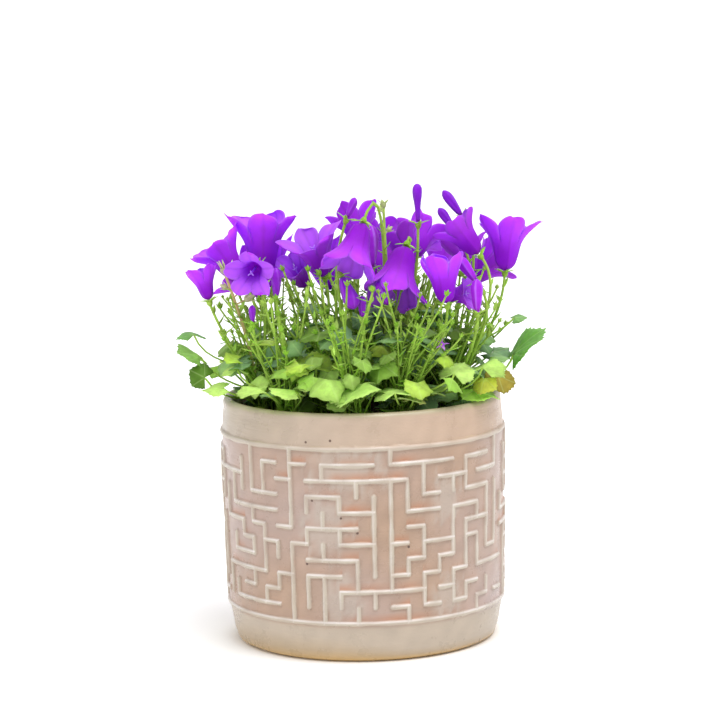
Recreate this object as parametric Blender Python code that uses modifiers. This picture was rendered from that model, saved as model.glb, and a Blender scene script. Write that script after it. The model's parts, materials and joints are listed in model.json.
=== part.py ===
"""A bellflower in a round ceramic pot.

Metres, +Z up, the centre of the pot's foot at the origin, the front at -Y.
"""

import math
import random

import bmesh
import bpy
import numpy as np
from mathutils import Matrix

MM = 0.001
CREASE = math.radians(38)

# Driving sizes of the pot
POT_HEIGHT = 117.2 * MM
FOOT_RADIUS = 58.7 * MM
BELLY_RADIUS = 67.3 * MM
RIM_RADIUS = 66.2 * MM
WALL = 4.6 * MM
FLOOR_THICKNESS = 6.0 * MM

# The relief: columns round the pot, and the levels of its gridlines from the top down
COLUMNS = 53
FIRST_COLUMN_ANGLE = math.radians(-3.2)
BAND_TOP = 101.0 * MM
BAND_BOTTOM = 19.2 * MM
ROWS = 11
BAR_WIDTH = 2.4 * MM
RING_PROUD = 1.25 * MM
BAR_PROUD = 1.15 * MM
BAR_ROOT = 0.5 * MM
BAR_ROOT_HALF = 0.5 * BAR_WIDTH * (BAR_ROOT + BAR_PROUD) / BAR_PROUD

# The soil and the holes that the shoots stand in
SOIL_TOP = 106.0 * MM
SEAT_GAP = 0.3 * MM
ROOT_RADIUS = 5.0 * MM
ROOT_DEPTH = 8.0 * MM
ROOT_RISE = 1.4 * MM
ROOT_SIDES = 6

# The plant
SHEET = 0.66 * MM
STEM_RADIUS = 0.85 * MM
STEM_END_RADIUS = 0.7 * MM
STEM_RINGS, NODDING_RINGS = 5, 8
STALK_RADIUS = 0.75 * MM
STALK_END_RADIUS = 0.62 * MM
STALK_RINGS = 3
CALYX_DROP = 0.96 * MM
CALYX_DEPTH = 0.9 * MM
DOME_LEAVES = 48
EDGE_LEAVES = 26
BROAD_TEETH, SMALL_TEETH = 7, 5
SMALL_LEAF = 10
DOME_TOP, DOME_FALL, DOME_REACH = 150.0, 20.0, 62.0
SEED = 73

# Clear distances between the middles of neighbouring pieces, in mm
BLOOM_GAP = 3.0
STEM_GAP, OWN_STEM_GAP = 2.3, 1.7
BLADE_GAP, STALK_GAP = 1.9, 1.6
SEPAL_GAP, TWIG_GAP, TIP_GAP = 1.7, 2.1, 4.0

# Walls of the fret that face the front: level -> column runs, and column -> level runs
LEVEL_WALLS = {
    1: ((-6, -5), (-4, -3), (-2, 1), (2, 6), (7, 9)),
    2: ((-11, -8), (-5, -4), (-3, 3), (5, 7), (8, 10)),
    3: ((-7, -5), (-3, -1), (4, 5), (7, 9)),
    4: ((-9, -5), (-1, 1), (3, 5), (6, 8)),
    5: ((-10, -8), (-7, -6), (-5, -4), (-3, 0), (3, 4), (7, 9)),
    6: ((-8, -7), (-6, -5), (-4, -3), (-1, 1), (2, 3), (4, 6), (7, 8)),
    7: ((-9, -7), (-3, 0), (3, 4), (5, 6), (9, 10)),
    8: ((-10, -6), (-5, -4), (-3, -1), (2, 3), (4, 5), (6, 7), (8, 11)),
    9: ((-8, -7), (-6, -5), (-1, 4), (5, 6), (7, 8)),
    10: ((-9, -5), (2, 3), (4, 5), (6, 7), (8, 9), (10, 11)),
}
COLUMN_WALLS = {
    -10: ((3, 5), (8, 10)),
    -9: ((2, 4), (6, 7), (9, 10)),
    -8: ((1, 3), (5, 6)),
    -7: ((0, 3), (4, 5), (6, 7), (8, 9)),
    -6: ((1, 3), (5, 8), (9, 10)),
    -5: ((6, 7), (8, 9)),
    -4: ((0, 5), (6, 11)),
    -3: ((3, 4), (5, 6), (8, 10)),
    -2: ((1, 2), (4, 5), (6, 7), (8, 11)),
    -1: ((3, 4), (5, 6), (9, 10)),
    0: ((2, 3), (7, 9), (10, 11)),
    1: ((3, 8), (9, 10)),
    2: ((0, 1), (2, 9)),
    3: ((2, 4), (7, 8), (10, 11)),
    4: ((1, 3), (5, 7), (8, 10)),
    5: ((7, 8),),
    6: ((2, 3), (4, 7), (8, 10)),
    7: ((1, 3), (5, 8), (9, 10)),
    8: ((4, 5), (6, 8), (10, 11)),
    9: ((3, 7), (9, 10)),
    10: ((0, 2), (3, 7)),
    11: ((4, 5),),
}
FRONT_COLUMNS = range(-10, 12)
FRET_SEED = 17

# Blooms: name, seat in mm, azimuth and elevation of the mouth, roll, length in mm, opening in degrees
BLOOMS = (
    ("left_open", (-56, 0, 172), 175, 54, 10, 29, 56),
    ("left_tall", (-46, 10, 173), 100, 87, 14, 36, 34),
    ("left_front", (-48, -24, 181), -100, -8, 90, 23, 66),
    ("left_low", (-71, -15, 165), 150, 74, 0, 18, 22),
    ("mid_left", (-17, 2, 173), -140, 66, 80, 29, 62),
    ("mid_left_low", (-26, 22, 166), -130, 50, 28, 22, 50),
    ("mid_nodding", (2, -34, 201), -130, -60, 20, 31, 48),
    ("mid_right", (25, 8, 176), 150, 66, 60, 27, 58),
    ("tall_bell", (40, -40, 164), 130, 82, 30, 27, 22),
    ("long_lobed", (22, -18, 188), -122, -58, 60, 34, 44),
    ("right_low", (41, -16, 164), -30, 10, 0, 19, 56),
    ("right_back", (56, -16, 184), 165, 50, 15, 26, 54),
    ("far_right", (69, 0, 174), 70, 80, 50, 31, 44),
    ("far_right_low", (54, 22, 170), 120, 60, 0, 23, 46),
)

# Closed buds: name, seat in mm, azimuth and elevation of the tip, length in mm, radius in mm
BUDS = (
    ("club", (28, -10, 199), 90, 88, 18, 2.3),
    ("pair_outer", (49, 8, 200), 150, 50, 15, 2.4),
    ("pair_inner", (45, 2, 194), 140, 48, 13, 2.2),
    ("top", (-5, -23, 203), 20, 66, 10, 2.0),
    ("ribbed", (6, -9, 178), 90, 86, 20, 3.4),
    ("pointing_down", (-8, -36, 176), -60, -50, 17, 3.8),
    ("middle", (13, -34, 163), 160, 66, 12, 2.6),
    ("middle_low", (1, -38, 158), 90, 84, 10, 2.0),
    ("right_striped", (54, -30, 173), 165, 52, 14, 2.8),
    ("right_ribbed", (54, -41, 160), 90, 86, 15, 3.0),
    ("left_dark", (-39, -22, 166), 90, 84, 14, 2.5),
    ("left_small", (-50, -32, 156), 100, 80, 8, 1.7),
)

# Leaves over the rim: name, joint of blade and stalk in mm, azimuth, elevation and roll in degrees,
# length in mm
RIM_LEAVES = (
    ("front_large", (2, -56, 130), 178, -16, 0, 19),
    ("front_yellow", (-21, -42, 135), 100, 28, 0, 12),
    ("front_right", (15, -57, 125), 105, 8, -8, 12),
    ("front_left", (-31, -54, 127), 166, 8, 4, 12),
    ("front_band", (-20, -55, 128), 92, 2, 0, 11),
    ("front_upper", (-12, -44, 131), 70, 30, 12, 10),
    ("front_star", (11, -46, 136), 88, 18, 0, 9),
    ("front_light", (-32, -48, 128), 100, 22, 0, 9),
    ("front_low", (-31, -55, 121), 10, -8, 22, 10),
    ("front_pinkish", (21, -57, 122), 75, 16, 10, 7),
    ("left_light", (-50, -34, 141), 125, 40, -15, 11),
    ("left_pale", (-58, -30, 134), 110, 15, 0, 8),
    ("left_fan", (-47, -50, 127), 176, -8, -6, 11),
    ("right_front", (43, -46, 132), 60, 26, 10, 11),
    ("right_back", (42, -30, 136), 70, 30, 0, 10),
    ("right_soft", (56, -38, 133), 60, 22, 0, 12),
    ("right_yellow", (57, -38, 128), -120, -45, 0, 8),
    ("right_orange", (64, -24, 127), -70, -46, 0, 10),
    ("right_lobed", (72, -4, 134), 8, 50, 2, 19),
    ("right_small", (73, -6, 152), 5, 8, 15, 6),
    ("left_upper", (-79, -6, 147), 120, 15, 0, 9),
    ("left_middle", (-76, -14, 138), 165, 35, 4, 12),
    ("left_dark", (-74, -22, 129), 178, 30, -76, 8),
    ("left_low", (-65, -30, 125), 180, -4, -12, 10),
)

# Bare calyces on thin stems: name, seat in mm, azimuth and elevation
SPRIGS = (
    ("tall_sprig", (12, -10, 209), 90, 80),
    ("dry_capsule", (-64, -22, 181), 170, 70),
)

BACK_BLOOMS = 11
GREEN_STEMS = 10
STEM_TRIES = 400
GOLDEN_ANGLE = math.radians(137.508)
OUTER_SHOOTS, OUTER_REACH = 10, 46.0
INNER_SHOOTS, INNER_REACH = 5, 22.0

# The wall of a bell: share of its length, and the angle between the wall and the axis in degrees
BELL_SHARES = (0.0, 0.09, 0.2, 0.42, 0.52)
BELL_ANGLES = (82.0, 52.0, 14.0, 15.0, 24.0)
NOTCH = 0.5
LOBES = 5
CALYX_ANGLE = 74.0
CALYX_REACH, CALYX_VALLEY = 5.6, 2.3


def direction(azimuth, elevation):
    a, e = math.radians(azimuth), math.radians(elevation)
    return np.array((math.cos(e) * math.cos(a), math.cos(e) * math.sin(a), math.sin(e)))


def frame_along(axis, roll=0.0):
    """Columns: two directions across the axis, then the axis."""
    axis = axis / np.linalg.norm(axis)
    across = np.cross((0.0, 0.0, 1.0), axis)
    if np.linalg.norm(across) < 0.05:
        across = np.array((1.0, 0.0, 0.0))
    across = across / np.linalg.norm(across)
    other = np.cross(axis, across)
    turn = math.radians(roll)
    first = math.cos(turn) * across + math.sin(turn) * other
    return np.stack((first, np.cross(axis, first), axis), axis=1)


def bell_profile(length, opening, share):
    """Radius and height at a share of the wall's length."""
    steps = np.linspace(0.0, 1.0, 81)
    shares = BELL_SHARES + (0.72, 1.0)
    angles = BELL_ANGLES + (0.55 * opening + 14.0, opening + 6.0)
    slope = np.radians(np.interp((steps[1:] + steps[:-1]) / 2, shares, angles))
    radius = np.concatenate(((0.0,), np.cumsum(np.sin(slope)))) * length / 80
    height = np.concatenate(((0.0,), np.cumsum(np.cos(slope)))) * length / 80
    return np.interp(share, steps, radius), np.interp(share, steps, height)


def bell_point(bloom, lobe, side, share):
    """A point of a bell's wall: side runs from -1 to 1 across the lobe, share from 0 at the base to 1."""
    spread = bloom["opening"] + bloom["lobe_turns"][lobe] * max(0.0, share - NOTCH) / (1 - NOTCH)
    radius, height = bell_profile(bloom["length"], spread, share)
    sector = math.pi / LOBES
    notch_radius, _ = bell_profile(bloom["length"], bloom["opening"], NOTCH)
    past = max(0.0, (share - NOTCH) / (1 - NOTCH))
    width = notch_radius * sector * (1 + 0.5 * math.sin(math.pi * past)) * math.sqrt(1 - past**3)
    if past <= 0.0:
        turn = side * sector
    else:
        turn = side * min(sector * 0.94, width / radius)
    height += 0.05 * bloom["length"] * past * side * side
    around = 2 * sector * lobe + turn
    local = np.array((radius * math.cos(around), radius * math.sin(around), height))
    return bloom["seat"] + bloom["frame"] @ local


def bell_cloud(bloom):
    """Points all over a bell, for keeping other pieces clear of it."""
    points = []
    for lobe in range(LOBES):
        for share in (0.1, 0.25, 0.4, 0.5, 0.6, 0.7, 0.8, 0.9, 1.0):
            for side in (-0.9, -0.45, 0.0, 0.45, 0.9):
                points.append(bell_point(bloom, lobe, side, share))
    return np.array(points)


def blade_rays(leaf):
    """Angle and reach of each outline point of a leaf, from its joint, tooth tips and valleys in turn."""
    teeth = leaf["teeth"]
    rays = []
    for i in range(2 * teeth - 1):
        angle = math.radians(-122 + 244 * i / (2 * teeth - 2))
        reach = leaf["length"] * (0.6 + 0.4 * math.cos(0.72 * angle))
        if i % 2:
            reach *= 0.84
        rays.append((angle, reach))
    return rays


def blade_point(leaf, angle, reach):
    """A point of a leaf's blade: cupped, and folded a little along its middle rib."""
    share = reach / leaf["length"]
    up = leaf["cup"] * reach * share + leaf["fold"] * reach * abs(math.sin(angle))
    up += leaf["wave"] * reach * share * math.sin(3 * angle + leaf["phase"])
    local = np.array((reach * math.cos(angle), reach * math.sin(angle), up))
    return leaf["joint"] + leaf["frame"] @ local


def blade_fan(leaf):
    """The blade as a fan: its centre on the middle rib, then its outline."""
    centre = blade_point(leaf, 0.0, 0.36 * leaf["length"])
    return centre, np.array([blade_point(leaf, *ray) for ray in blade_rays(leaf)])


def blade_cloud(leaf):
    """Points all over a blade, for keeping it clear of other pieces."""
    centre, rim = blade_fan(leaf)
    rim = np.concatenate((rim, (rim[1:] + rim[:-1]) / 2, [leaf["joint"]]))
    return np.concatenate([centre + share * (rim - centre) for share in (0.1, 0.32, 0.55, 0.78, 1.0)])


def thinned(path, count):
    return path[np.linspace(0, len(path) - 1, count).round().astype(int)]


def stem_rings(axis):
    """More rings on a stem that bends over to what hangs from it."""
    return STEM_RINGS if axis[2] > 0.0 else NODDING_RINGS


def run_along(path, rings):
    """Points along a path, and along the straight runs between the rings that its solid has."""
    corners = thinned(path, rings)
    steps = np.linspace(0.0, 1.0, len(path) // 2)[:, None]
    runs = [a + steps * (b - a) for a, b in zip(corners[:-1], corners[1:])]
    return np.concatenate([path, *runs])


def bezier(start, first, second, end, count):
    t = np.linspace(0.0, 1.0, count)[:, None]
    return (1 - t) ** 3 * start + 3 * (1 - t) ** 2 * t * first + 3 * (1 - t) * t * t * second + t**3 * end


class Plant:
    """Where every leaf, stem, bloom and bud stands, in millimetres. One seeded draw places them all."""

    def __init__(self):
        self.draw = random.Random(SEED)
        self.placed = []
        self.roots = self.root_places()
        self.blooms = []
        self.buds = []
        self.stems = [[] for _ in self.roots]
        self.leaves = [[] for _ in self.roots]
        self.keep_rim()
        self.place_blooms()
        self.place_buds()
        self.place_stems()
        self.place_leaves()

    def root_places(self):
        places = [np.array((0.0, -3.0))]
        for count, reach, first in ((INNER_SHOOTS, INNER_REACH, 20), (OUTER_SHOOTS, OUTER_REACH, 9)):
            for i in range(count):
                turn = math.radians(first + 360 * i / count + self.draw.uniform(-5, 5))
                far = reach + self.draw.uniform(-3, 3)
                places.append(np.array((far * math.cos(turn), far * math.sin(turn))))
        return places

    def nearest_root(self, place, inward=0.78):
        return min(
            range(len(self.roots)),
            key=lambda i: np.linalg.norm(self.roots[i] - inward * np.array(place[:2])),
        )

    def clear(self, owner, points, gap):
        low, high = points.min(axis=0) - gap, points.max(axis=0) + gap
        for other, other_low, other_high, cloud in self.placed:
            if other == owner or (low > other_high).any() or (high < other_low).any():
                continue
            if np.linalg.norm(points[:, None] - cloud[None], axis=2).min() < gap:
                return False
        return True

    def keep(self, owner, points):
        self.placed.append((owner, points.min(axis=0), points.max(axis=0), points))

    def keep_rim(self):
        """Points round the pot's rim, an arc at a time."""
        rim = RIM_RADIUS / MM
        for arc in range(12):
            turns = math.tau * (arc + np.linspace(0.0, 1.0, 16)) / 12
            for radius, height in ((rim - 4.4, 115.5), (rim - 2.2, 116.6), (rim, 115.0)):
                ring = (radius * np.cos(turns), radius * np.sin(turns), np.full(16, height))
                self.keep("pot", np.stack(ring, axis=1))

    def new_bloom(self, name, seat, azimuth, elevation, roll, length, opening):
        axis = direction(azimuth, elevation)
        return {
            "name": name,
            "seat": np.array(seat, float),
            "axis": axis,
            "frame": frame_along(axis, roll),
            "length": float(length),
            "opening": float(opening),
            "lobe_turns": [self.draw.uniform(-14, 16) for _ in range(LOBES)],
        }

    def place_blooms(self):
        for entry in BLOOMS:
            bloom = self.new_bloom(*entry)
            self.blooms.append(bloom)
            self.keep(bloom["name"], bell_cloud(bloom))
        for i in range(BACK_BLOOMS):
            for _ in range(200):
                turn = math.radians(24 + 132 * (i + 0.5) / BACK_BLOOMS + self.draw.uniform(-9, 9))
                far = (62, 34)[i % 2] + self.draw.uniform(-9, 9)
                height = 186 - 0.3 * far + self.draw.uniform(-9, 5)
                seat = (far * math.cos(turn), far * math.sin(turn), height)
                outward = math.degrees(turn) + self.draw.uniform(-35, 35)
                tilt, roll = self.draw.uniform(28, 80), self.draw.uniform(0, 72)
                length, opening = self.draw.uniform(24, 30), self.draw.uniform(40, 66)
                bloom = self.new_bloom(f"back_{i + 1:02d}", seat, outward, tilt, roll, length, opening)
                if self.clear(bloom["name"], bell_cloud(bloom), BLOOM_GAP):
                    self.blooms.append(bloom)
                    self.keep(bloom["name"], bell_cloud(bloom))
                    break

    def bud_cloud(self, bud):
        points = []
        for share, wide in ((0.12, 0.5), (0.35, 0.8), (0.6, 0.95), (0.8, 0.9), (1.0, 0.1)):
            for turn in np.linspace(0.0, math.tau, 6, endpoint=False):
                across = bud["radius"] * wide * np.array((math.cos(turn), math.sin(turn), 0.0))
                points.append(bud["seat"] + bud["frame"] @ (across + (0, 0, share * bud["length"])))
        return np.array(points)

    def place_buds(self):
        for name, seat, azimuth, elevation, length, radius in BUDS:
            axis = direction(azimuth, elevation)
            bud = {"name": name, "seat": np.array(seat, float), "axis": axis, "frame": frame_along(axis)}
            bud.update(length=length, radius=radius)
            self.buds.append(bud)
            self.keep(name, self.bud_cloud(bud))

    def root_point(self, owner, toward):
        """Where a stem or a stalk leaves the root's top: on the side that it leans to."""
        root = self.roots[owner]
        turn = math.atan2(toward[1] - root[1], toward[0] - root[0]) + self.draw.uniform(-0.9, 0.9)
        far = self.draw.uniform(0.8, 3.3)
        return np.array((root[0] + far * math.cos(turn), root[1] + far * math.sin(turn), SOIL_TOP / MM + 1.0))

    def twigs_on(self, owner, path):
        """Narrow leaves on a stem, each a start and an end, kept where they are clear."""
        twigs = []
        for share in (0.66,)[self.draw.randint(0, 1):]:
            start = path[int(share * (len(path) - 1))]
            if start[2] < 126:
                continue
            for _ in range(12):
                away = direction(self.draw.uniform(0, 360), self.draw.uniform(15, 60))
                end = start + away * self.draw.uniform(6, 9)
                points = start + np.linspace(0.3, 1.0, 4)[:, None] * (end - start)
                if self.clear(owner, points, TWIG_GAP):
                    twigs.append((start, end))
                    self.keep(owner, points)
                    break
        return twigs

    def calyx_frame(self, owner, seat, axis):
        """Turns a calyx until its sepals point past their neighbours."""
        for roll in range(0, 360 // LOBES, 9):
            frame = frame_along(axis, roll)
            turns = math.tau * np.arange(LOBES) / LOBES
            tips = np.stack((np.cos(turns), np.sin(turns), np.full(LOBES, 0.2)), axis=1) @ frame.T
            points = np.concatenate((seat + 0.6 * CALYX_REACH * tips, seat + CALYX_REACH * tips))
            if self.clear(owner, points, SEPAL_GAP):
                break
        self.keep(owner, points)
        return frame

    def stem_to(self, owner, seat, axis, kind):
        """A stem from its root to a calyx, drawn again until it stands clear of what it doesn't carry."""
        end = seat - CALYX_DROP / MM * axis
        rise = end[2] - SOIL_TOP / MM
        path = None
        for attempt in range(STEM_TRIES):
            loose = 3 + 18 * attempt / STEM_TRIES
            start = self.root_point(owner, end)
            lean = np.array((self.draw.uniform(-loose, loose), self.draw.uniform(-loose, loose), 0.45 * rise))
            first = start + lean + 0.25 * np.array((end[0] - start[0], end[1] - start[1], 0))
            pull = self.draw.uniform(0.22, 0.42) * rise
            path = bezier(start, first, end - pull * axis, end, 40)
            free = run_along(path, stem_rings(axis))
            low, high = SOIL_TOP / MM + 6, np.linalg.norm(free - end, axis=1) > 4
            free = free[(free[:, 2] > low) & high]
            if self.clear(owner, free, STEM_GAP) and self.clear(None, free, OWN_STEM_GAP):
                break
        self.keep(owner, path)
        stem = {"path": path, "axis": axis, "kind": kind, "seat": seat}
        stem["frame"] = self.calyx_frame(owner, seat, axis)
        stem["twigs"] = self.twigs_on(owner, path)
        self.stems[owner].append(stem)

    def place_stems(self):
        for item in sorted(self.blooms + self.buds, key=lambda item: item["seat"][2]):
            owner = self.nearest_root(item["seat"])
            self.stem_to(owner, item["seat"], item["axis"], "calyx")
        for name, seat, azimuth, elevation in SPRIGS:
            owner = self.nearest_root(seat)
            self.stem_to(owner, np.array(seat, float), direction(azimuth, elevation), name)
        for i in range(GREEN_STEMS):
            for _ in range(60):
                far = 66 * math.sqrt((i + 0.5) / GREEN_STEMS) + self.draw.uniform(-4, 4)
                turn = i * GOLDEN_ANGLE + self.draw.uniform(-0.3, 0.3)
                tip = np.array((far * math.cos(turn), far * math.sin(turn), self.draw.uniform(150, 172)))
                if self.clear("tip", tip[None], TIP_GAP):
                    break
            owner = self.nearest_root(tip)
            outward = math.degrees(turn) + self.draw.uniform(-60, 60)
            self.stem_to(owner, tip, direction(outward, self.draw.uniform(55, 85)), "green")

    def new_leaf(self, joint, azimuth, elevation, roll, length, teeth):
        tip = direction(azimuth, elevation)
        across = np.cross((0.0, 0.0, 1.0), tip)
        across = across / np.linalg.norm(across)
        turn = math.radians(roll)
        across = math.cos(turn) * across + math.sin(turn) * np.cross(tip, across)
        return {
            "joint": np.array(joint, float),
            "frame": np.stack((tip, across, np.cross(tip, across)), axis=1),
            "length": float(length),
            "teeth": teeth,
            "cup": self.draw.uniform(-0.3, 0.05),
            "fold": self.draw.uniform(-0.42, 0.04),
            "wave": self.draw.uniform(0.06, 0.16),
            "phase": self.draw.uniform(0, 6.28),
        }

    def stalk_to(self, owner, leaf):
        joint = leaf["joint"]
        start = self.root_point(owner, joint)
        rise = joint[2] - start[2]
        first = start + np.array((self.draw.uniform(-3, 3), self.draw.uniform(-3, 3), 0.7 * rise))
        reach = joint - start
        arrival = 0.75 * leaf["frame"][:, 0] + (0, 0, 0.66)
        second = joint - 0.36 * np.linalg.norm(reach) * arrival
        return bezier(start, first, second, joint, 24)

    def try_leaf(self, leaf):
        inward = 0.8 * leaf["joint"][:2]
        away = [np.linalg.norm(root - inward) for root in self.roots]
        for owner in np.argsort(away)[:3]:
            stalk = self.stalk_to(owner, leaf)
            blade = blade_cloud(leaf)
            run = run_along(stalk, STALK_RINGS)
            run = run[run[:, 2] > SOIL_TOP / MM + 5]
            free = self.clear(None, blade, BLADE_GAP) and self.clear(owner, run, BLADE_GAP)
            if free and self.clear(None, run, STALK_GAP):
                leaf["stalk"] = stalk
                self.leaves[owner].append(leaf)
                self.keep(owner, blade)
                self.keep(owner, run)
                return True
        return False

    def place_leaves(self):
        for _, joint, azimuth, elevation, roll, length in RIM_LEAVES:
            for attempt in range(60):
                near = np.array(joint) + [self.draw.uniform(-0.08, 0.08) * attempt for _ in range(3)]
                teeth = BROAD_TEETH if length > SMALL_LEAF else SMALL_TEETH
                if self.try_leaf(self.new_leaf(near, azimuth, elevation, roll, length, teeth)):
                    break
        for i in range(EDGE_LEAVES):
            for _ in range(40):
                turn = math.tau * (i + self.draw.uniform(0, 1)) / EDGE_LEAVES
                far, height = self.draw.uniform(50, 62), self.draw.uniform(120, 131)
                joint = (far * math.cos(turn), far * math.sin(turn), height)
                tip_azimuth = math.degrees(turn) + self.draw.uniform(-110, 110)
                rise, roll = self.draw.uniform(-20, 24), self.draw.uniform(-18, 18)
                if self.try_leaf(self.new_leaf(joint, tip_azimuth, rise, roll, self.draw.uniform(9, 13), 6)):
                    break
        for i in range(DOME_LEAVES):
            for _ in range(40):
                far = 60 * math.sqrt((i + 0.5) / DOME_LEAVES) + self.draw.uniform(-5, 5)
                turn = i * GOLDEN_ANGLE + self.draw.uniform(-0.35, 0.35)
                dome = DOME_TOP - DOME_FALL * (far / DOME_REACH) ** 2 + self.draw.uniform(-10, 8)
                joint = (far * math.cos(turn), far * math.sin(turn), dome)
                tip_azimuth = math.degrees(turn) + self.draw.uniform(-60, 60)
                rise, roll = self.draw.uniform(-24, 26), self.draw.uniform(-18, 18)
                length = self.draw.uniform(8, 12)
                if self.try_leaf(self.new_leaf(joint, tip_azimuth, rise, roll, length, 5 + i % 2)):
                    break


def clear_scene():
    for obj in list(bpy.data.objects):
        bpy.data.objects.remove(obj, do_unlink=True)


def material(name, colour, roughness):
    made = bpy.data.materials.new(name)
    made.use_nodes = True
    shader = made.node_tree.nodes["Principled BSDF"]
    shader.inputs["Base Color"].default_value = (*colour, 1.0)
    shader.inputs["Roughness"].default_value = roughness
    made.diffuse_color = (*colour, 1.0)
    return made


def mesh_object(name, points, faces, look, collection):
    mesh = bpy.data.meshes.new(name)
    mesh.from_pydata([tuple(p) for p in points], [], faces)
    mesh.materials.append(look)
    obj = bpy.data.objects.new(name, mesh)
    collection.objects.link(obj)
    return obj


def sheet_normals(points, faces):
    corners = points[np.array(faces)]
    facing = np.cross(corners[:, 1] - corners[:, 0], corners[:, 2] - corners[:, 0])
    normals = np.zeros_like(points)
    for face, normal in zip(faces, facing):
        for corner in face:
            normals[corner] += normal / np.linalg.norm(normal)
    return normals / np.linalg.norm(normals, axis=1)[:, None]


def sheet_solid(points, faces, thickness):
    """A closed solid in metres from a sheet of triangles in mm, half its thickness to each side."""
    points = np.array(points) * MM
    normals = sheet_normals(points, faces)
    count = len(points)
    solid = [tuple(face) for face in faces] + [tuple(count + i for i in reversed(face)) for face in faces]
    edges = {edge for a, b, c in faces for edge in ((a, b), (b, c), (c, a))}
    for a, b in sorted(edges):
        if (b, a) not in edges:
            solid += [(b, a, count + a), (b, count + a, count + b)]
    both = np.concatenate((points + normals * thickness / 2, points - normals * thickness / 2))
    return both, solid


def tube_rings(path, radii, ending):
    """Three-sided rings along a path in mm. The last ring faces along ending's last column."""
    along = np.gradient(path, axis=0)
    along[-1] = ending[:, 2]
    up = ending[:, 0]
    along /= np.linalg.norm(along, axis=1)[:, None]
    rings = []
    for centre, ahead, radius in zip(path[::-1], along[::-1], radii[::-1]):
        up = up - ahead * np.dot(up, ahead)
        up = up / np.linalg.norm(up)
        side = np.cross(ahead, up)
        rings.append([centre + radius * (math.cos(turn) * up + math.sin(turn) * side)
                      for turn in (0.0, math.tau / 3, 2 * math.tau / 3)])
    return rings[::-1]


def tube_faces(rings):
    """The start and the sides of a tube of three-sided rings."""
    faces = [(2, 1, 0)]
    for ring in range(rings - 1):
        for side in range(3):
            a, b = 3 * ring + side, 3 * ring + (side + 1) % 3
            faces.append((a, b, b + 3, a + 3))
    return faces


def round_point(radius, angle, height):
    return (radius * math.sin(angle), -radius * math.cos(angle), height)


def turned_object(name, profile, look, collection):
    """A body of revolution from (radius, height) pairs, from the axis round and back to it."""
    mesh = bpy.data.meshes.new(name)
    points = [round_point(radius, FIRST_COLUMN_ANGLE, height) for radius, height in profile]
    mesh.from_pydata(points, [(i, i + 1) for i in range(len(points) - 1)], [])
    mesh.materials.append(look)
    obj = bpy.data.objects.new(name, mesh)
    collection.objects.link(obj)
    turn = obj.modifiers.new("turn", "SCREW")
    turn.steps = turn.render_steps = COLUMNS
    turn.use_merge_vertices = True
    turn.merge_threshold = 0.01 * MM
    turn.use_normal_calculate = True
    turn.use_smooth_shade = False
    apply_modifiers(obj)
    return obj


def prism_object(name, centre, radius, low, high, look, collection):
    """An upright six-sided prism."""
    shape = bmesh.new()
    place = Matrix.Translation((centre[0] * MM, centre[1] * MM, (low + high) / 2))
    bmesh.ops.create_cone(shape, cap_ends=True, segments=ROOT_SIDES, radius1=radius, radius2=radius,
                          depth=high - low, matrix=place)
    mesh = bpy.data.meshes.new(name)
    shape.to_mesh(mesh)
    shape.free()
    if look:
        mesh.materials.append(look)
    obj = bpy.data.objects.new(name, mesh)
    collection.objects.link(obj)
    return obj


def combined(base, solids, operation, solver="EXACT"):
    """One Boolean of an object with some solids, applied. The solids are removed."""
    others = bpy.data.collections.new(base.name + "_others")
    bpy.context.scene.collection.children.link(others)
    others.hide_render = True
    for i, solid in enumerate(solids):
        piece = mesh_object(f"{base.name}_other_{i}", *solid, base.data.materials[0], others)
        piece.hide_render = True
        piece.display_type = "WIRE"
    modifier = base.modifiers.new("combined", "BOOLEAN")
    modifier.operation = operation
    modifier.operand_type = "COLLECTION"
    modifier.collection = others
    modifier.solver = solver
    apply_modifiers(base)
    for piece in list(others.objects):
        bpy.data.objects.remove(piece, do_unlink=True)
    bpy.data.collections.remove(others)
    keep_main_body(base)
    return base


def shade_round(obj):
    """Smooth shading, broken where faces meet at more than the crease angle."""
    obj.data.shade_smooth()
    obj.data.set_sharp_from_angle(angle=CREASE)


def stand_at(obj, seat, frame):
    """Gives an object its own origin and turn, and leaves its shape in place."""
    place = Matrix.Translation(seat * MM) @ Matrix(frame.tolist()).to_4x4()
    obj.data.transform(place.inverted())
    obj.matrix_world = place


def apply_modifiers(obj):
    graph = bpy.context.evaluated_depsgraph_get()
    graph.update()
    applied = bpy.data.meshes.new_from_object(obj.evaluated_get(graph))
    obj.modifiers.clear()
    obj.data = applied


def keep_main_body(obj):
    """Fills sealed hollows and drops scraps, so that one shell is left."""
    shape = bmesh.new()
    shape.from_mesh(obj.data)
    unseen = set(shape.faces)
    shells = []
    while unseen:
        shell, front = [], [unseen.pop()]
        while front:
            face = front.pop()
            shell.append(face)
            for other in {other for edge in face.edges for other in edge.link_faces} & unseen:
                unseen.remove(other)
                front.append(other)
        shells.append(shell)
    shells.sort(key=len)
    loose = [face for shell in shells[:-1] for face in shell]
    bmesh.ops.delete(shape, geom=loose, context="FACES")
    shape.to_mesh(obj.data)
    shape.free()


def wall_radius(height):
    """The pot's outer wall between its foot and its rim, without the relief."""
    heights = np.array((0.0, 1.5, 5.8, 17.9, 20.4, 99.8, 102.3, 113.5)) * MM
    below = BELLY_RADIUS - np.array((8.6, 5.6, 4.1, 1.9, 1.6, 0.1, 0.2, 1.1)) * MM
    return float(np.interp(height, heights, below))


def column_angle(column):
    return FIRST_COLUMN_ANGLE + 2 * math.pi * column / COLUMNS


def level_height(level):
    return BAND_TOP + (BAND_BOTTOM - BAND_TOP) * level / ROWS


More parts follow.
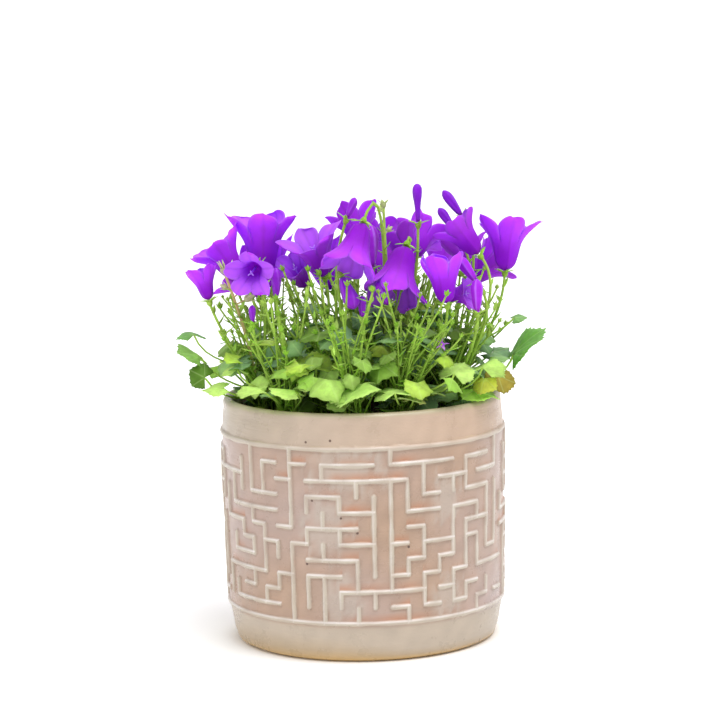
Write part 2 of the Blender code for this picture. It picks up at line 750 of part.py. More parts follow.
def ridge_solid(sections):
    """A bar of the fret from its cross sections, each three points: two in the wall and the crest."""
    points = [p for section in sections for p in section]
    faces = [(0, 1, 2)]
    for ring in range(len(sections) - 1):
        for side in range(3):
            a, b = 3 * ring + side, 3 * ring + (side + 1) % 3
            faces.append((a, a + 3, b + 3, b))
    last = 3 * (len(sections) - 1)
    faces.append((last + 2, last + 1, last))
    return points, faces


def level_bar(level, start, end):
    """A level bar of the fret, from column to column."""
    height = level_height(level)
    wall = wall_radius(height)
    sections = []
    half = BAR_ROOT_HALF
    for angle in (column_angle(column) for column in range(start, end + 1)):
        sections.append((
            round_point(wall - BAR_ROOT, angle, height + half),
            round_point(wall - BAR_ROOT, angle, height - half),
            round_point(wall + BAR_PROUD, angle, height),
        ))
    return ridge_solid(sections)


def column_bar(column, start, end):
    """An upright bar of the fret, from level to level."""
    angle = column_angle(column)
    half = BAR_ROOT_HALF * np.array((math.cos(angle), math.sin(angle), 0.0))
    sections = []
    for height in (level_height(end), level_height(start)):
        wall = wall_radius(height)
        root = np.array(round_point(wall - BAR_ROOT, angle, height))
        sections.append((root - half, root + half, round_point(wall + BAR_PROUD, angle, height)))
    return ridge_solid(sections)


def fret_walls():
    """All bars: the front as listed, the rest of the round by a seeded rule of the same kind."""
    draw = random.Random(FRET_SEED)
    levels = [(level, *run) for level, runs in LEVEL_WALLS.items() for run in runs]
    columns = [(column, *run) for column, runs in COLUMN_WALLS.items() for run in runs]
    first, last = FRONT_COLUMNS[-1], FRONT_COLUMNS[0] + COLUMNS
    for level in range(1, ROWS):
        column = first + draw.randint(0, 2)
        while column < last - 1:
            end = min(column + draw.choice((2, 3, 3)), last)
            levels.append((level, column, end))
            column = end + draw.choice((2, 3))
    for column in range(first + 1, last):
        level = draw.randint(0, 2)
        while level < ROWS - 1:
            end = min(level + draw.choice((3, 4, 5)), ROWS)
            columns.append((column, level, end))
            level = end + draw.choice((1, 2))
    return levels, columns


def pot_inside(height):
    heights = (FLOOR_THICKNESS, 20 * MM, 100 * MM)
    radii = (FOOT_RADIUS - 4 * MM, BELLY_RADIUS - WALL - 1.6 * MM, RIM_RADIUS - WALL)
    return float(np.interp(height, heights, radii))


def build_pot(look, parts):
    outer = [(wall_radius(z * MM), z * MM) for z in (0.0, 1.5, 5.8)]
    foot_ring = [(wall_radius(BAND_BOTTOM + dz * MM) + out * MM, BAND_BOTTOM + dz * MM)
                 for dz, out in ((-1.3, 0.0), (0.0, RING_PROUD / MM), (1.2, 0.0))]
    top_ring = [(wall_radius(BAND_TOP + dz * MM) + out * MM, BAND_TOP + dz * MM)
                for dz, out in ((-1.2, 0.0), (0.0, RING_PROUD / MM), (1.3, 0.0))]
    rim = [(RIM_RADIUS, 113.5 * MM), (RIM_RADIUS - 1.4 * MM, POT_HEIGHT), (RIM_RADIUS - 3.4 * MM, POT_HEIGHT),
           (RIM_RADIUS - WALL, 113 * MM)]
    inside = [(pot_inside(z), z) for z in (20 * MM, FLOOR_THICKNESS)]
    profile = [(0.0, 0.0), *outer, *foot_ring, *top_ring, *rim, *inside, (0.0, FLOOR_THICKNESS)]
    levels, columns = fret_walls()
    pot = turned_object("pot", profile, look, parts)
    bars = [level_bar(*wall) for wall in levels] + [column_bar(*wall) for wall in columns]
    return combined(pot, bars, "UNION", "MANIFOLD")


def build_soil(plant, look, parts):
    low = FLOOR_THICKNESS + SEAT_GAP
    outline = [(pot_inside(z) - SEAT_GAP, z) for z in (low, 20 * MM, SOIL_TOP)]
    profile = [(0.0, low), *outline, (0.0, SOIL_TOP)]
    soil = turned_object("soil", profile, look, parts)
    holes = bpy.data.collections.new("holes")
    bpy.context.scene.collection.children.link(holes)
    holes.hide_render = True
    for i, root in enumerate(plant.roots):
        bottom = SOIL_TOP - ROOT_DEPTH - SEAT_GAP
        hole = prism_object(f"hole_{i}", root, ROOT_RADIUS + SEAT_GAP, bottom, SOIL_TOP + 2 * MM, None, holes)
        hole.hide_render = True
        hole.display_type = "WIRE"
    cut = soil.modifiers.new("holes", "BOOLEAN")
    cut.operation = "DIFFERENCE"
    cut.operand_type = "COLLECTION"
    cut.collection = holes
    apply_modifiers(soil)
    for hole in list(holes.objects):
        bpy.data.objects.remove(hole, do_unlink=True)
    bpy.data.collections.remove(holes)
    return soil


def bell_solid(bloom):
    """A bell with few faces: base, throat, notches, then five pointed lobes."""
    points = [bell_point(bloom, 0, 0.0, 0.0)]
    for lobe in range(LOBES):
        points.append(bell_point(bloom, lobe, 0.0, 0.16))
    for lobe in range(LOBES):
        points.append(bell_point(bloom, lobe, -1.0, NOTCH))
        points.append(bell_point(bloom, lobe, 0.0, NOTCH))
    for lobe in range(LOBES):
        for side in (-1.0, 0.0, 1.0):
            points.append(bell_point(bloom, lobe, side, 0.82))
        points.append(bell_point(bloom, lobe, 0.0, 1.0))
    faces = []
    for lobe in range(LOBES):
        nxt = (lobe + 1) % LOBES
        low, low_next = 1 + lobe, 1 + nxt
        notch, middle, notch_next = 6 + 2 * lobe, 7 + 2 * lobe, 6 + 2 * nxt
        left, rib, right, tip = (16 + 4 * lobe + i for i in range(4))
        faces += [(0, low, low_next), (low, notch, middle), (low, middle, notch_next),
                  (low, notch_next, low_next)]
        faces += [(notch, left, rib), (notch, rib, middle), (middle, rib, notch_next)]
        faces += [(rib, right, notch_next), (left, tip, rib), (rib, tip, right)]
    return sheet_solid(points, [tuple(reversed(face)) for face in faces], SHEET)


def bud_solid(bud):
    """A closed bud: a spindle with five ribs."""
    rings = ((0.12, 0.55), (0.5, 0.85), (0.74, 1.0))
    frame, seat = bud["frame"], bud["seat"]
    points = [seat]
    for share, wide in rings:
        for i in range(LOBES):
            turn = 2 * math.pi * i / LOBES
            across = bud["radius"] * wide * np.array((math.cos(turn), math.sin(turn), 0.0))
            points.append(seat + frame @ (across + (0, 0, share * bud["length"])))
    points.append(seat + frame @ np.array((0, 0, bud["length"])))
    faces = []
    for i in range(LOBES):
        nxt = (i + 1) % LOBES
        faces.append((0, 1 + nxt, 1 + i))
        for ring in range(len(rings) - 1):
            a, b = 1 + LOBES * ring + i, 1 + LOBES * ring + nxt
            faces.append((a, b, b + LOBES, a + LOBES))
        last = 1 + LOBES * (len(rings) - 1)
        faces.append((last + i, last + nxt, len(points) - 1))
    return np.array(points) * MM, faces


def spindle_solid(start, end, wide, thick):
    """Two ends and a waist of four points."""
    frame = frame_along(end - start)
    waist = start + 0.45 * (end - start)
    corners = ((wide, 0, 0), (0, thick, 0), (-wide, 0, 0), (0, -thick, 0))
    points = [start, *(waist + frame @ np.array(corner) for corner in corners), end]
    faces = [(0, 1 + (i + 1) % 4, 1 + i) for i in range(4)]
    faces += [(5, 1 + i, 1 + (i + 1) % 4) for i in range(4)]
    return np.array(points) * MM, faces


def stem_solid(stem):
    """A stem with what it ends in: a calyx of five pointed sepals, or a green bud."""
    axis, seat = stem["axis"], stem["seat"]
    path = thinned(stem["path"], stem_rings(axis))
    radii = list(np.linspace(STEM_RADIUS, STEM_END_RADIUS, len(path)) / MM)
    frame = stem["frame"]
    if stem["kind"] == "green":
        path = np.concatenate((path, [seat + 1.6 * axis, seat + 5.0 * axis]))
        rings = tube_rings(path, radii + [1.6, 0.3], frame)
        points = [p for ring in rings for p in ring]
        last = len(points) - 3
        return np.array(points) * MM, tube_faces(len(rings)) + [(last, last + 1, last + 2)]
    base = path[-1].copy()
    path[-1] = base - CALYX_DEPTH / MM * axis
    rings = tube_rings(path, radii, frame)
    points = [p for ring in rings for p in ring]
    faces = tube_faces(len(rings))
    low, rim, star = len(points) - 3, len(points), 2 * LOBES
    lean = math.radians(CALYX_ANGLE)
    for i in range(star):
        reach = CALYX_VALLEY if i % 2 else CALYX_REACH
        turn, far = math.pi * i / LOBES, reach * math.sin(lean)
        local = (far * math.cos(turn), far * math.sin(turn), reach * math.cos(lean))
        points.append(base + frame @ np.array(local))
    points.append(base + 0.5 * SHEET / MM * axis)
    for i in range(star):
        nxt = (i + 1) % star
        corner, next_corner = (int(3 * k / star + 0.5) % 3 for k in (i, i + 1))
        faces.append((low + corner, rim + nxt, rim + i))
        if corner != next_corner:
            faces.append((low + corner, low + next_corner, rim + nxt))
        faces.append((len(points) - 1, rim + i, rim + nxt))
    return np.array(points) * MM, faces


def twig_solid(start, end):
    """A narrow leaf on a stem, thick along its middle rib."""
    return spindle_solid(start, end, 1.4, 0.5)


def leaf_solid(leaf):
    """A stalk and its toothed blade as one body. The blade is a fan of triangles."""
    path = thinned(leaf["stalk"], STALK_RINGS)
    path[-1] = leaf["joint"]
    radii = np.linspace(STALK_RADIUS, STALK_END_RADIUS, STALK_RINGS) / MM
    arriving = path[-1] - path[-2]
    facing = leaf["frame"][:, 0] + arriving / np.linalg.norm(arriving)
    facing /= np.linalg.norm(facing)
    rings = tube_rings(path, radii, np.stack((leaf["frame"][:, 2], leaf["frame"][:, 1], facing), axis=1))
    tube = [p for ring in rings for p in ring]
    centre, rim = blade_fan(leaf)
    sheet = np.array([centre, *rim, leaf["joint"]])
    count = len(sheet)
    fan = [(0, i, i + 1) for i in range(1, count - 1)] + [(0, count - 1, 1)]
    offset = 0.5 * SHEET / MM * sheet_normals(sheet, fan)
    top, under = len(tube), len(tube) + count - 1
    points = tube + list((sheet + offset)[:-1]) + list((sheet - offset)[:-1])
    joint, joint_right, joint_left = (top - 3 + i for i in range(3))
    faces = tube_faces(len(rings))
    for i in range(1, count - 2):
        faces += [(top, top + i, top + i + 1), (under, under + i + 1, under + i)]
        faces += [(top + i + 1, top + i, under + i), (top + i + 1, under + i, under + i + 1)]
    last = count - 2
    faces += [(top, top + last, joint), (top, joint, top + 1)]
    faces += [(under, joint_left, under + last), (under, joint_right, joint_left)]
    faces += [(under, under + 1, joint_right)]
    faces += [(joint, top + last, under + last), (joint, under + last, joint_left)]
    faces += [(top + 1, joint, joint_right), (top + 1, joint_right, under + 1)]
    return np.array(points) * MM, faces


def build_shoot(plant, index, look, parts):
    """A leafy shoot: its root, leaves on stalks, stems, narrow leaves, calyces and green buds in one body."""
    solids = []
    for leaf in plant.leaves[index]:
        solids.append(leaf_solid(leaf))
    for stem in plant.stems[index]:
        solids.append(stem_solid(stem))
        for twig in stem["twigs"]:
            solids.append(twig_solid(*twig))
    root = prism_object(f"shoot_{index + 1:02d}", plant.roots[index], ROOT_RADIUS, SOIL_TOP - ROOT_DEPTH,
                        SOIL_TOP + ROOT_RISE, look, parts)
    return combined(root, solids, "UNION")


def main():
    clear_scene()
    parts = bpy.data.collections.new("potted_bellflower")
    bpy.context.scene.collection.children.link(parts)
    glaze = material("pot_glaze", (0.55, 0.45, 0.36), 0.4)
    earth = material("potting_soil", (0.05, 0.035, 0.02), 0.95)
    green = material("leaf_green", (0.22, 0.42, 0.08), 0.5)
    violet = material("petal_violet", (0.42, 0.02, 0.9), 0.5)
    dark = material("bud_violet", (0.16, 0.01, 0.5), 0.45)
    plant = Plant()
    pot = build_pot(glaze, parts)
    build_soil(plant, earth, parts)
    for index in range(len(plant.roots)):
        build_shoot(plant, index, green, parts)
    for bloom in plant.blooms:
        bell = mesh_object("bloom_" + bloom["name"], *bell_solid(bloom), violet, parts)
        stand_at(bell, bloom["seat"], bloom["frame"])
    for bud in plant.buds:
        spindle = mesh_object("bud_" + bud["name"], *bud_solid(bud), dark, parts)
        stand_at(spindle, bud["seat"], bud["frame"])
    for obj in parts.objects:
        shade_round(obj)
        if obj != pot:
            obj.parent = pot


main()
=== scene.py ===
import json
import math
import random

import bpy
import numpy as np
from mathutils import Matrix, Vector

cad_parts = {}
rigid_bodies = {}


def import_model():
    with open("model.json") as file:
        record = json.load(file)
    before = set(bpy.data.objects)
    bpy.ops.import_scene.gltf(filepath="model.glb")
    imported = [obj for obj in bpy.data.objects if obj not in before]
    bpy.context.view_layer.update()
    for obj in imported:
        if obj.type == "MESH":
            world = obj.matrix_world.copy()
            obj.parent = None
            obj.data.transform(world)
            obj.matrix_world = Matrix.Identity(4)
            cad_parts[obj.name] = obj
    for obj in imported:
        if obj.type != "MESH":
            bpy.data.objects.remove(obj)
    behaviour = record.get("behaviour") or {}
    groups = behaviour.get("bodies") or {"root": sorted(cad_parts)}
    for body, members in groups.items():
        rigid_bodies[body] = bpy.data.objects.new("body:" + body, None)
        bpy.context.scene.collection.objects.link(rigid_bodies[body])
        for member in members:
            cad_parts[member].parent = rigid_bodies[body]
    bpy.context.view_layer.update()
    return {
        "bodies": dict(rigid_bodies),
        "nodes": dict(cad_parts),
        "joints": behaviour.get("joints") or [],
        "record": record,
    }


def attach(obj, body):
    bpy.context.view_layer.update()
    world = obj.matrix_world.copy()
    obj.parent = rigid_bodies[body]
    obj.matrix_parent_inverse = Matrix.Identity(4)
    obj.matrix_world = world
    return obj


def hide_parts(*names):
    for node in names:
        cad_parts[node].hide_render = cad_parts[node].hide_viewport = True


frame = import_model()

# Sizes are in millimetres until a mesh is made of them
MM = 0.001
POT_HEIGHT = 117.2
BELLY_RADIUS = 67.3
RIM_RADIUS = 66.2
SOIL_TOP = 106.0

# The relief: columns round the pot, and rows between levels that count from the top down
COLUMNS, ROWS = 53, 11
FIRST_COLUMN_ANGLE = math.radians(-3.2)
BAND_TOP, BAND_BOTTOM = 101.0, 19.2
BAR_PROUD = 1.15

# The plant
STEM_RINGS, NODDING_RINGS, STALK_RINGS = 5, 8, 3
CALYX_DROP = 0.96
DOME_LEAVES, EDGE_LEAVES = 48, 26
BROAD_TEETH, SMALL_TEETH = 7, 5
SMALL_LEAF = 10
BLADE_SPREAD, VALLEY = 122, 0.84
DOME_TOP, DOME_FALL, DOME_REACH, LEAF_REACH = 150.0, 20.0, 62.0, 60
SEED = 73

# Clear distances between the middles of neighbouring pieces
BLOOM_GAP = 3.0
STEM_GAP, OWN_STEM_GAP = 2.3, 1.7
BLADE_GAP, STALK_GAP = 1.9, 1.6
SEPAL_GAP, TWIG_GAP, TIP_GAP = 1.7, 2.1, 4.0

# Walls of the fret that face the front: level -> column runs, and column -> level runs
LEVEL_WALLS = {
    1: ((-6, -5), (-4, -3), (-2, 1), (2, 6), (7, 9)),
    2: ((-11, -8), (-5, -4), (-3, 3), (5, 7), (8, 10)),
    3: ((-7, -5), (-3, -1), (4, 5), (7, 9)),
    4: ((-9, -5), (-1, 1), (3, 5), (6, 8)),
    5: ((-10, -8), (-7, -6), (-5, -4), (-3, 0), (3, 4), (7, 9)),
    6: ((-8, -7), (-6, -5), (-4, -3), (-1, 1), (2, 3), (4, 6), (7, 8)),
    7: ((-9, -7), (-3, 0), (3, 4), (5, 6), (9, 10)),
    8: ((-10, -6), (-5, -4), (-3, -1), (2, 3), (4, 5), (6, 7), (8, 11)),
    9: ((-8, -7), (-6, -5), (-1, 4), (5, 6), (7, 8)),
    10: ((-9, -5), (2, 3), (4, 5), (6, 7), (8, 9), (10, 11)),
}
COLUMN_WALLS = {
    -10: ((3, 5), (8, 10)),
    -9: ((2, 4), (6, 7), (9, 10)),
    -8: ((1, 3), (5, 6)),
    -7: ((0, 3), (4, 5), (6, 7), (8, 9)),
    -6: ((1, 3), (5, 8), (9, 10)),
    -5: ((6, 7), (8, 9)),
    -4: ((0, 5), (6, 11)),
    -3: ((3, 4), (5, 6), (8, 10)),
    -2: ((1, 2), (4, 5), (6, 7), (8, 11)),
    -1: ((3, 4), (5, 6), (9, 10)),
    0: ((2, 3), (7, 9), (10, 11)),
    1: ((3, 8), (9, 10)),
    2: ((0, 1), (2, 9)),
    3: ((2, 4), (7, 8), (10, 11)),
    4: ((1, 3), (5, 7), (8, 10)),
    5: ((7, 8),),
    6: ((2, 3), (4, 7), (8, 10)),
    7: ((1, 3), (5, 8), (9, 10)),
    8: ((4, 5), (6, 8), (10, 11)),
    9: ((3, 7), (9, 10)),
    10: ((0, 2), (3, 7)),
    11: ((4, 5),),
}
FRONT_COLUMNS = range(-10, 12)
FRET_SEED = 17

# Blooms: name, seat, azimuth and elevation of the mouth and roll in degrees, length, opening in degrees
BLOOMS = (
    ("left_open", (-56, 0, 172), 175, 54, 10, 29, 56),
    ("left_tall", (-46, 10, 173), 100, 87, 14, 36, 34),
    ("left_front", (-48, -24, 181), -100, -8, 90, 23, 66),
    ("left_low", (-71, -15, 165), 150, 74, 0, 18, 22),
    ("mid_left", (-17, 2, 173), -140, 66, 80, 29, 62),
    ("mid_left_low", (-26, 22, 166), -130, 50, 28, 22, 50),
    ("mid_nodding", (2, -34, 201), -130, -60, 20, 31, 48),
    ("mid_right", (25, 8, 176), 150, 66, 60, 27, 58),
    ("tall_bell", (40, -40, 164), 130, 82, 30, 27, 22),
    ("long_lobed", (22, -18, 188), -122, -58, 60, 34, 44),
    ("right_low", (41, -16, 164), -30, 10, 0, 19, 56),
    ("right_back", (56, -16, 184), 165, 50, 15, 26, 54),
    ("far_right", (69, 0, 174), 70, 80, 50, 31, 44),
    ("far_right_low", (54, 22, 170), 120, 60, 0, 23, 46),
)

# Closed buds: name, seat, azimuth and elevation of the tip, length, radius
BUDS = (
    ("club", (28, -10, 199), 90, 88, 18, 2.3),
    ("pair_outer", (49, 8, 200), 150, 50, 15, 2.4),
    ("pair_inner", (45, 2, 194), 140, 48, 13, 2.2),
    ("top", (-5, -23, 203), 20, 66, 10, 2.0),
    ("ribbed", (6, -9, 178), 90, 86, 20, 3.4),
    ("pointing_down", (-8, -36, 176), -60, -50, 17, 3.8),
    ("middle", (13, -34, 163), 160, 66, 12, 2.6),
    ("middle_low", (1, -38, 158), 90, 84, 10, 2.0),
    ("right_striped", (54, -30, 173), 165, 52, 14, 2.8),
    ("right_ribbed", (54, -41, 160), 90, 86, 15, 3.0),
    ("left_dark", (-39, -22, 166), 90, 84, 14, 2.5),
    ("left_small", (-50, -32, 156), 100, 80, 8, 1.7),
)

# Leaves over the rim: joint of blade and stalk, azimuth, elevation and roll in degrees, length, colour
LEAF_PALE = (0.66, 0.92, 0.24)
RIM_LEAVES = (
    ((2, -56, 130), 178, -16, 0, 19, (0.64, 0.94, 0.23)),
    ((-21, -42, 135), 100, 28, 0, 12, (0.7, 0.96, 0.1)),
    ((15, -57, 125), 105, 8, -8, 12, LEAF_PALE),
    ((-31, -54, 127), 166, 8, 4, 12, LEAF_PALE),
    ((-20, -55, 128), 92, 2, 0, 11, (0.78, 0.95, 0.26)),
    ((-12, -44, 131), 70, 30, 12, 10, LEAF_PALE),
    ((11, -46, 136), 88, 18, 0, 9, LEAF_PALE),
    ((-32, -48, 128), 100, 22, 0, 9, LEAF_PALE),
    ((-31, -55, 121), 10, -8, 22, 10, (0.31, 0.51, 0.095)),
    ((21, -57, 122), 75, 16, 10, 7, (0.78, 0.74, 0.266)),
    ((-50, -34, 141), 125, 40, -15, 11, (0.47, 0.84, 0.123)),
    ((-58, -30, 134), 110, 15, 0, 8, LEAF_PALE),
    ((-47, -50, 127), 176, -8, -6, 11, LEAF_PALE),
    ((43, -46, 132), 60, 26, 10, 11, LEAF_PALE),
    ((42, -30, 136), 70, 30, 0, 10, LEAF_PALE),
    ((56, -38, 133), 60, 22, 0, 12, (0.52, 0.78, 0.162)),
    ((57, -38, 128), -120, -45, 0, 8, (0.62, 0.6, 0.025)),
    ((64, -24, 127), -70, -46, 0, 10, (0.4, 0.27, 0.022)),
    ((72, -4, 134), 8, 50, 2, 19, (0.1, 0.4, 0.035)),
    ((73, -6, 152), 5, 8, 15, 6, (0.16, 0.41, 0.114)),
    ((-79, -6, 147), 120, 15, 0, 9, (0.13, 0.41, 0.095)),
    ((-76, -14, 138), 165, 35, 4, 12, (0.21, 0.49, 0.076)),
    ((-74, -22, 129), 178, 30, -76, 8, (0.07, 0.2, 0.006)),
    ((-65, -30, 125), 180, -4, -12, 10, LEAF_PALE),
)

# Bare calyces on thin stems: name, seat, azimuth and elevation
SPRIGS = (
    ("tall_sprig", (12, -10, 209), 90, 80),
    ("dry_capsule", (-64, -22, 181), 170, 70),
)

# Blooms at the back: how many, how far out by turns, and how high; then the stems with young green buds
BACK_BLOOMS, BACK_REACHES, BACK_TOP, BACK_FALL = 11, (62, 34), 186, 0.3
GREEN_STEMS, GREEN_REACH = 10, 66
STEM_TRIES, BLOOM_TRIES, TIP_TRIES, LEAF_TRIES, TWIG_TRIES = 400, 200, 60, 40, 12
STEM_POINTS, STALK_POINTS = 40, 24
TWIG_SHARE, TWIG_LOWEST = 0.66, 126
GOLDEN_ANGLE = math.radians(137.508)
# Shoots on a ring: how many, how far out, and the first one's angle in degrees
SHOOT_RINGS = ((5, 22.0, 20), (10, 46.0, 9))

# The wall of a bell: shares of its length, and its angle to the axis in degrees below the two that its
# opening sets. Its lobes: where they part, how their edges rise, and how they widen
BELL_SHARES = (0.0, 0.09, 0.2, 0.42, 0.52, 0.72, 1.0)
BELL_ANGLES = (82.0, 52.0, 14.0, 15.0, 24.0)
NOTCH, LOBE_LIFT, LOBE_SPREAD, WIDEST = 0.5, 0.05, 0.5, 0.94
LOBES = 5
CALYX_ANGLE = 74.0
CALYX_REACH = 5.6


def around(turn, radius=1.0, height=0.0):
    """The point at an angle about an axis, a distance from it and a height along it."""
    return np.array((radius * math.cos(turn), radius * math.sin(turn), height))


def direction(azimuth, elevation):
    rise = math.radians(elevation)
    return around(math.radians(azimuth), math.cos(rise), math.sin(rise))


def frame_along(axis, roll=0.0):
    """Columns: two directions across the axis, then the axis."""
    axis = axis / np.linalg.norm(axis)
    across = np.cross((0.0, 0.0, 1.0), axis)
    if np.linalg.norm(across) < 0.05:
        across = np.array((1.0, 0.0, 0.0))
    across = across / np.linalg.norm(across)
    other = np.cross(axis, across)
    turn = math.radians(roll)
    first = math.cos(turn) * across + math.sin(turn) * other
    return np.stack((first, np.cross(axis, first), axis), axis=1)


def bell_profile(length, opening, share):
    """Radius and height at a share of the wall's length."""
    steps = np.linspace(0.0, 1.0, 81)
    angles = (*BELL_ANGLES, 0.55 * opening + 14.0, opening + 6.0)
    slope = np.radians(np.interp((steps[1:] + steps[:-1]) / 2, BELL_SHARES, angles))
    radius = np.concatenate(((0.0,), np.cumsum(np.sin(slope)))) * length / 80
    height = np.concatenate(((0.0,), np.cumsum(np.cos(slope)))) * length / 80
    return np.interp(share, steps, radius), np.interp(share, steps, height)


def bell_point(bloom, lobe, side, share):
    """A point of a bell's wall: side runs from -1 to 1 across the lobe, share from 0 at the base to 1."""
    past = max(0.0, share - NOTCH) / (1 - NOTCH)
    spread = bloom["opening"] + bloom["lobe_turns"][lobe] * past
    radius, height = bell_profile(bloom["length"], spread, share)
    sector = math.pi / LOBES
    notch_radius, _ = bell_profile(bloom["length"], bloom["opening"], NOTCH)
    width = notch_radius * sector * (1 + LOBE_SPREAD * math.sin(math.pi * past)) * math.sqrt(1 - past**3)
    turn = side * (sector if past <= 0.0 else min(WIDEST * sector, width / radius))
    height += LOBE_LIFT * bloom["length"] * past * side * side
    return bloom["seat"] + bloom["frame"] @ around(2 * sector * lobe + turn, radius, height)


def bell_cloud(bloom):
    """Points all over a bell, for keeping other pieces clear of it."""
    shares, sides = (0.1, 0.25, 0.4, 0.5, 0.6, 0.7, 0.8, 0.9, 1.0), (-0.9, -0.45, 0.0, 0.45, 0.9)
    places = [(lobe, side, share) for lobe in range(LOBES) for share in shares for side in sides]
    return np.array([bell_point(bloom, *place) for place in places])


def bud_cloud(bud):
    """Points all over a bud."""
    points = []
    for share, wide in ((0.12, 0.5), (0.35, 0.8), (0.6, 0.95), (0.8, 0.9), (1.0, 0.1)):
        for turn in np.linspace(0.0, math.tau, 6, endpoint=False):
            place = around(turn, bud["radius"] * wide, share * bud["length"])
            points.append(bud["seat"] + bud["frame"] @ place)
    return np.array(points)


def blade_reach(leaf, angle):
    """How far a blade reaches at an angle from its middle rib, without its teeth."""
    return leaf["length"] * (0.6 + 0.4 * np.cos(0.72 * angle))


def blade_rays(leaf):
    """Angle and reach of each outline point of a leaf, from its joint, tooth tips and valleys in turn."""
    teeth = leaf["teeth"]
    rays = []
    for i in range(2 * teeth - 1):
        angle = math.radians(BLADE_SPREAD * (i / (teeth - 1) - 1))
        rays.append((angle, blade_reach(leaf, angle) * (VALLEY if i % 2 else 1.0)))
    return rays


def blade_point(leaf, angle, reach):
    """A point of a leaf's blade: cupped, and folded a little along its middle rib."""
    share = reach / leaf["length"]
    up = leaf["cup"] * reach * share + leaf["fold"] * reach * abs(math.sin(angle))
    up += leaf["wave"] * reach * share * math.sin(3 * angle + leaf["phase"])
    return leaf["joint"] + leaf["frame"] @ around(angle, reach, up)


def blade_fan(leaf):
    """The blade as a fan: its centre on the middle rib, then its outline."""
    centre = blade_point(leaf, 0.0, 0.36 * leaf["length"])
    return centre, np.array([blade_point(leaf, *ray) for ray in blade_rays(leaf)])


def blade_cloud(leaf):
    """Points all over a blade, for keeping it clear of other pieces."""
    centre, rim = blade_fan(leaf)
    rim = np.concatenate((rim, (rim[1:] + rim[:-1]) / 2, [leaf["joint"]]))
    return np.concatenate([centre + share * (rim - centre) for share in (0.1, 0.32, 0.55, 0.78, 1.0)])


def thinned(path, count):
    return path[np.linspace(0, len(path) - 1, count).round().astype(int)]


def place_on(path, share):
    return path[int(share * (len(path) - 1))]


def stem_rings(axis):
    """More rings on a stem that bends over to what hangs from it."""
    return STEM_RINGS if axis[2] > 0.0 else NODDING_RINGS


def run_along(path, rings):
    """Points along a path, and along the straight runs between the rings that its solid has."""
    corners = thinned(path, rings)
    steps = np.linspace(0.0, 1.0, len(path) // 2)[:, None]
    runs = [a + steps * (b - a) for a, b in zip(corners[:-1], corners[1:])]
    return np.concatenate([path, *runs])


def bezier(start, first, second, end, count):
    t = np.linspace(0.0, 1.0, count)[:, None]
    return (1 - t) ** 3 * start + 3 * (1 - t) ** 2 * t * first + 3 * (1 - t) * t * t * second + t**3 * end


def new_stem(path, seat, axis, kind, frame, twigs=()):
    return {"path": path, "seat": seat, "axis": axis, "kind": kind, "frame": frame, "twigs": twigs}


def new_leaf(draw, joint, azimuth, elevation, roll, length, teeth,
             cup=(-0.3, 0.05), fold=(-0.42, 0.04), wave=(0.06, 0.16)):
    """A leaf to place. The columns of its frame: towards its tip, across it, and up from its face."""
    tip = direction(azimuth, elevation)
    across = np.cross((0.0, 0.0, 1.0), tip)
    across = across / np.linalg.norm(across)
    turn = math.radians(roll)
    across = math.cos(turn) * across + math.sin(turn) * np.cross(tip, across)
    frame = np.stack((tip, across, np.cross(tip, across)), axis=1)
    leaf = {"joint": np.array(joint, float), "frame": frame, "length": float(length), "teeth": teeth}
    leaf.update(cup=draw.uniform(*cup), fold=draw.uniform(*fold), wave=draw.uniform(*wave))
    leaf["phase"] = draw.uniform(0, 6.28)
    return leaf


def spiral(draw, i, count, reach, wander, loose):
    """The angle and distance of place i of count on an even spiral, a little off."""
    far = reach * math.sqrt((i + 0.5) / count)
    if wander:
        far += draw.uniform(-wander, wander)
    return i * GOLDEN_ANGLE + draw.uniform(-loose, loose), far


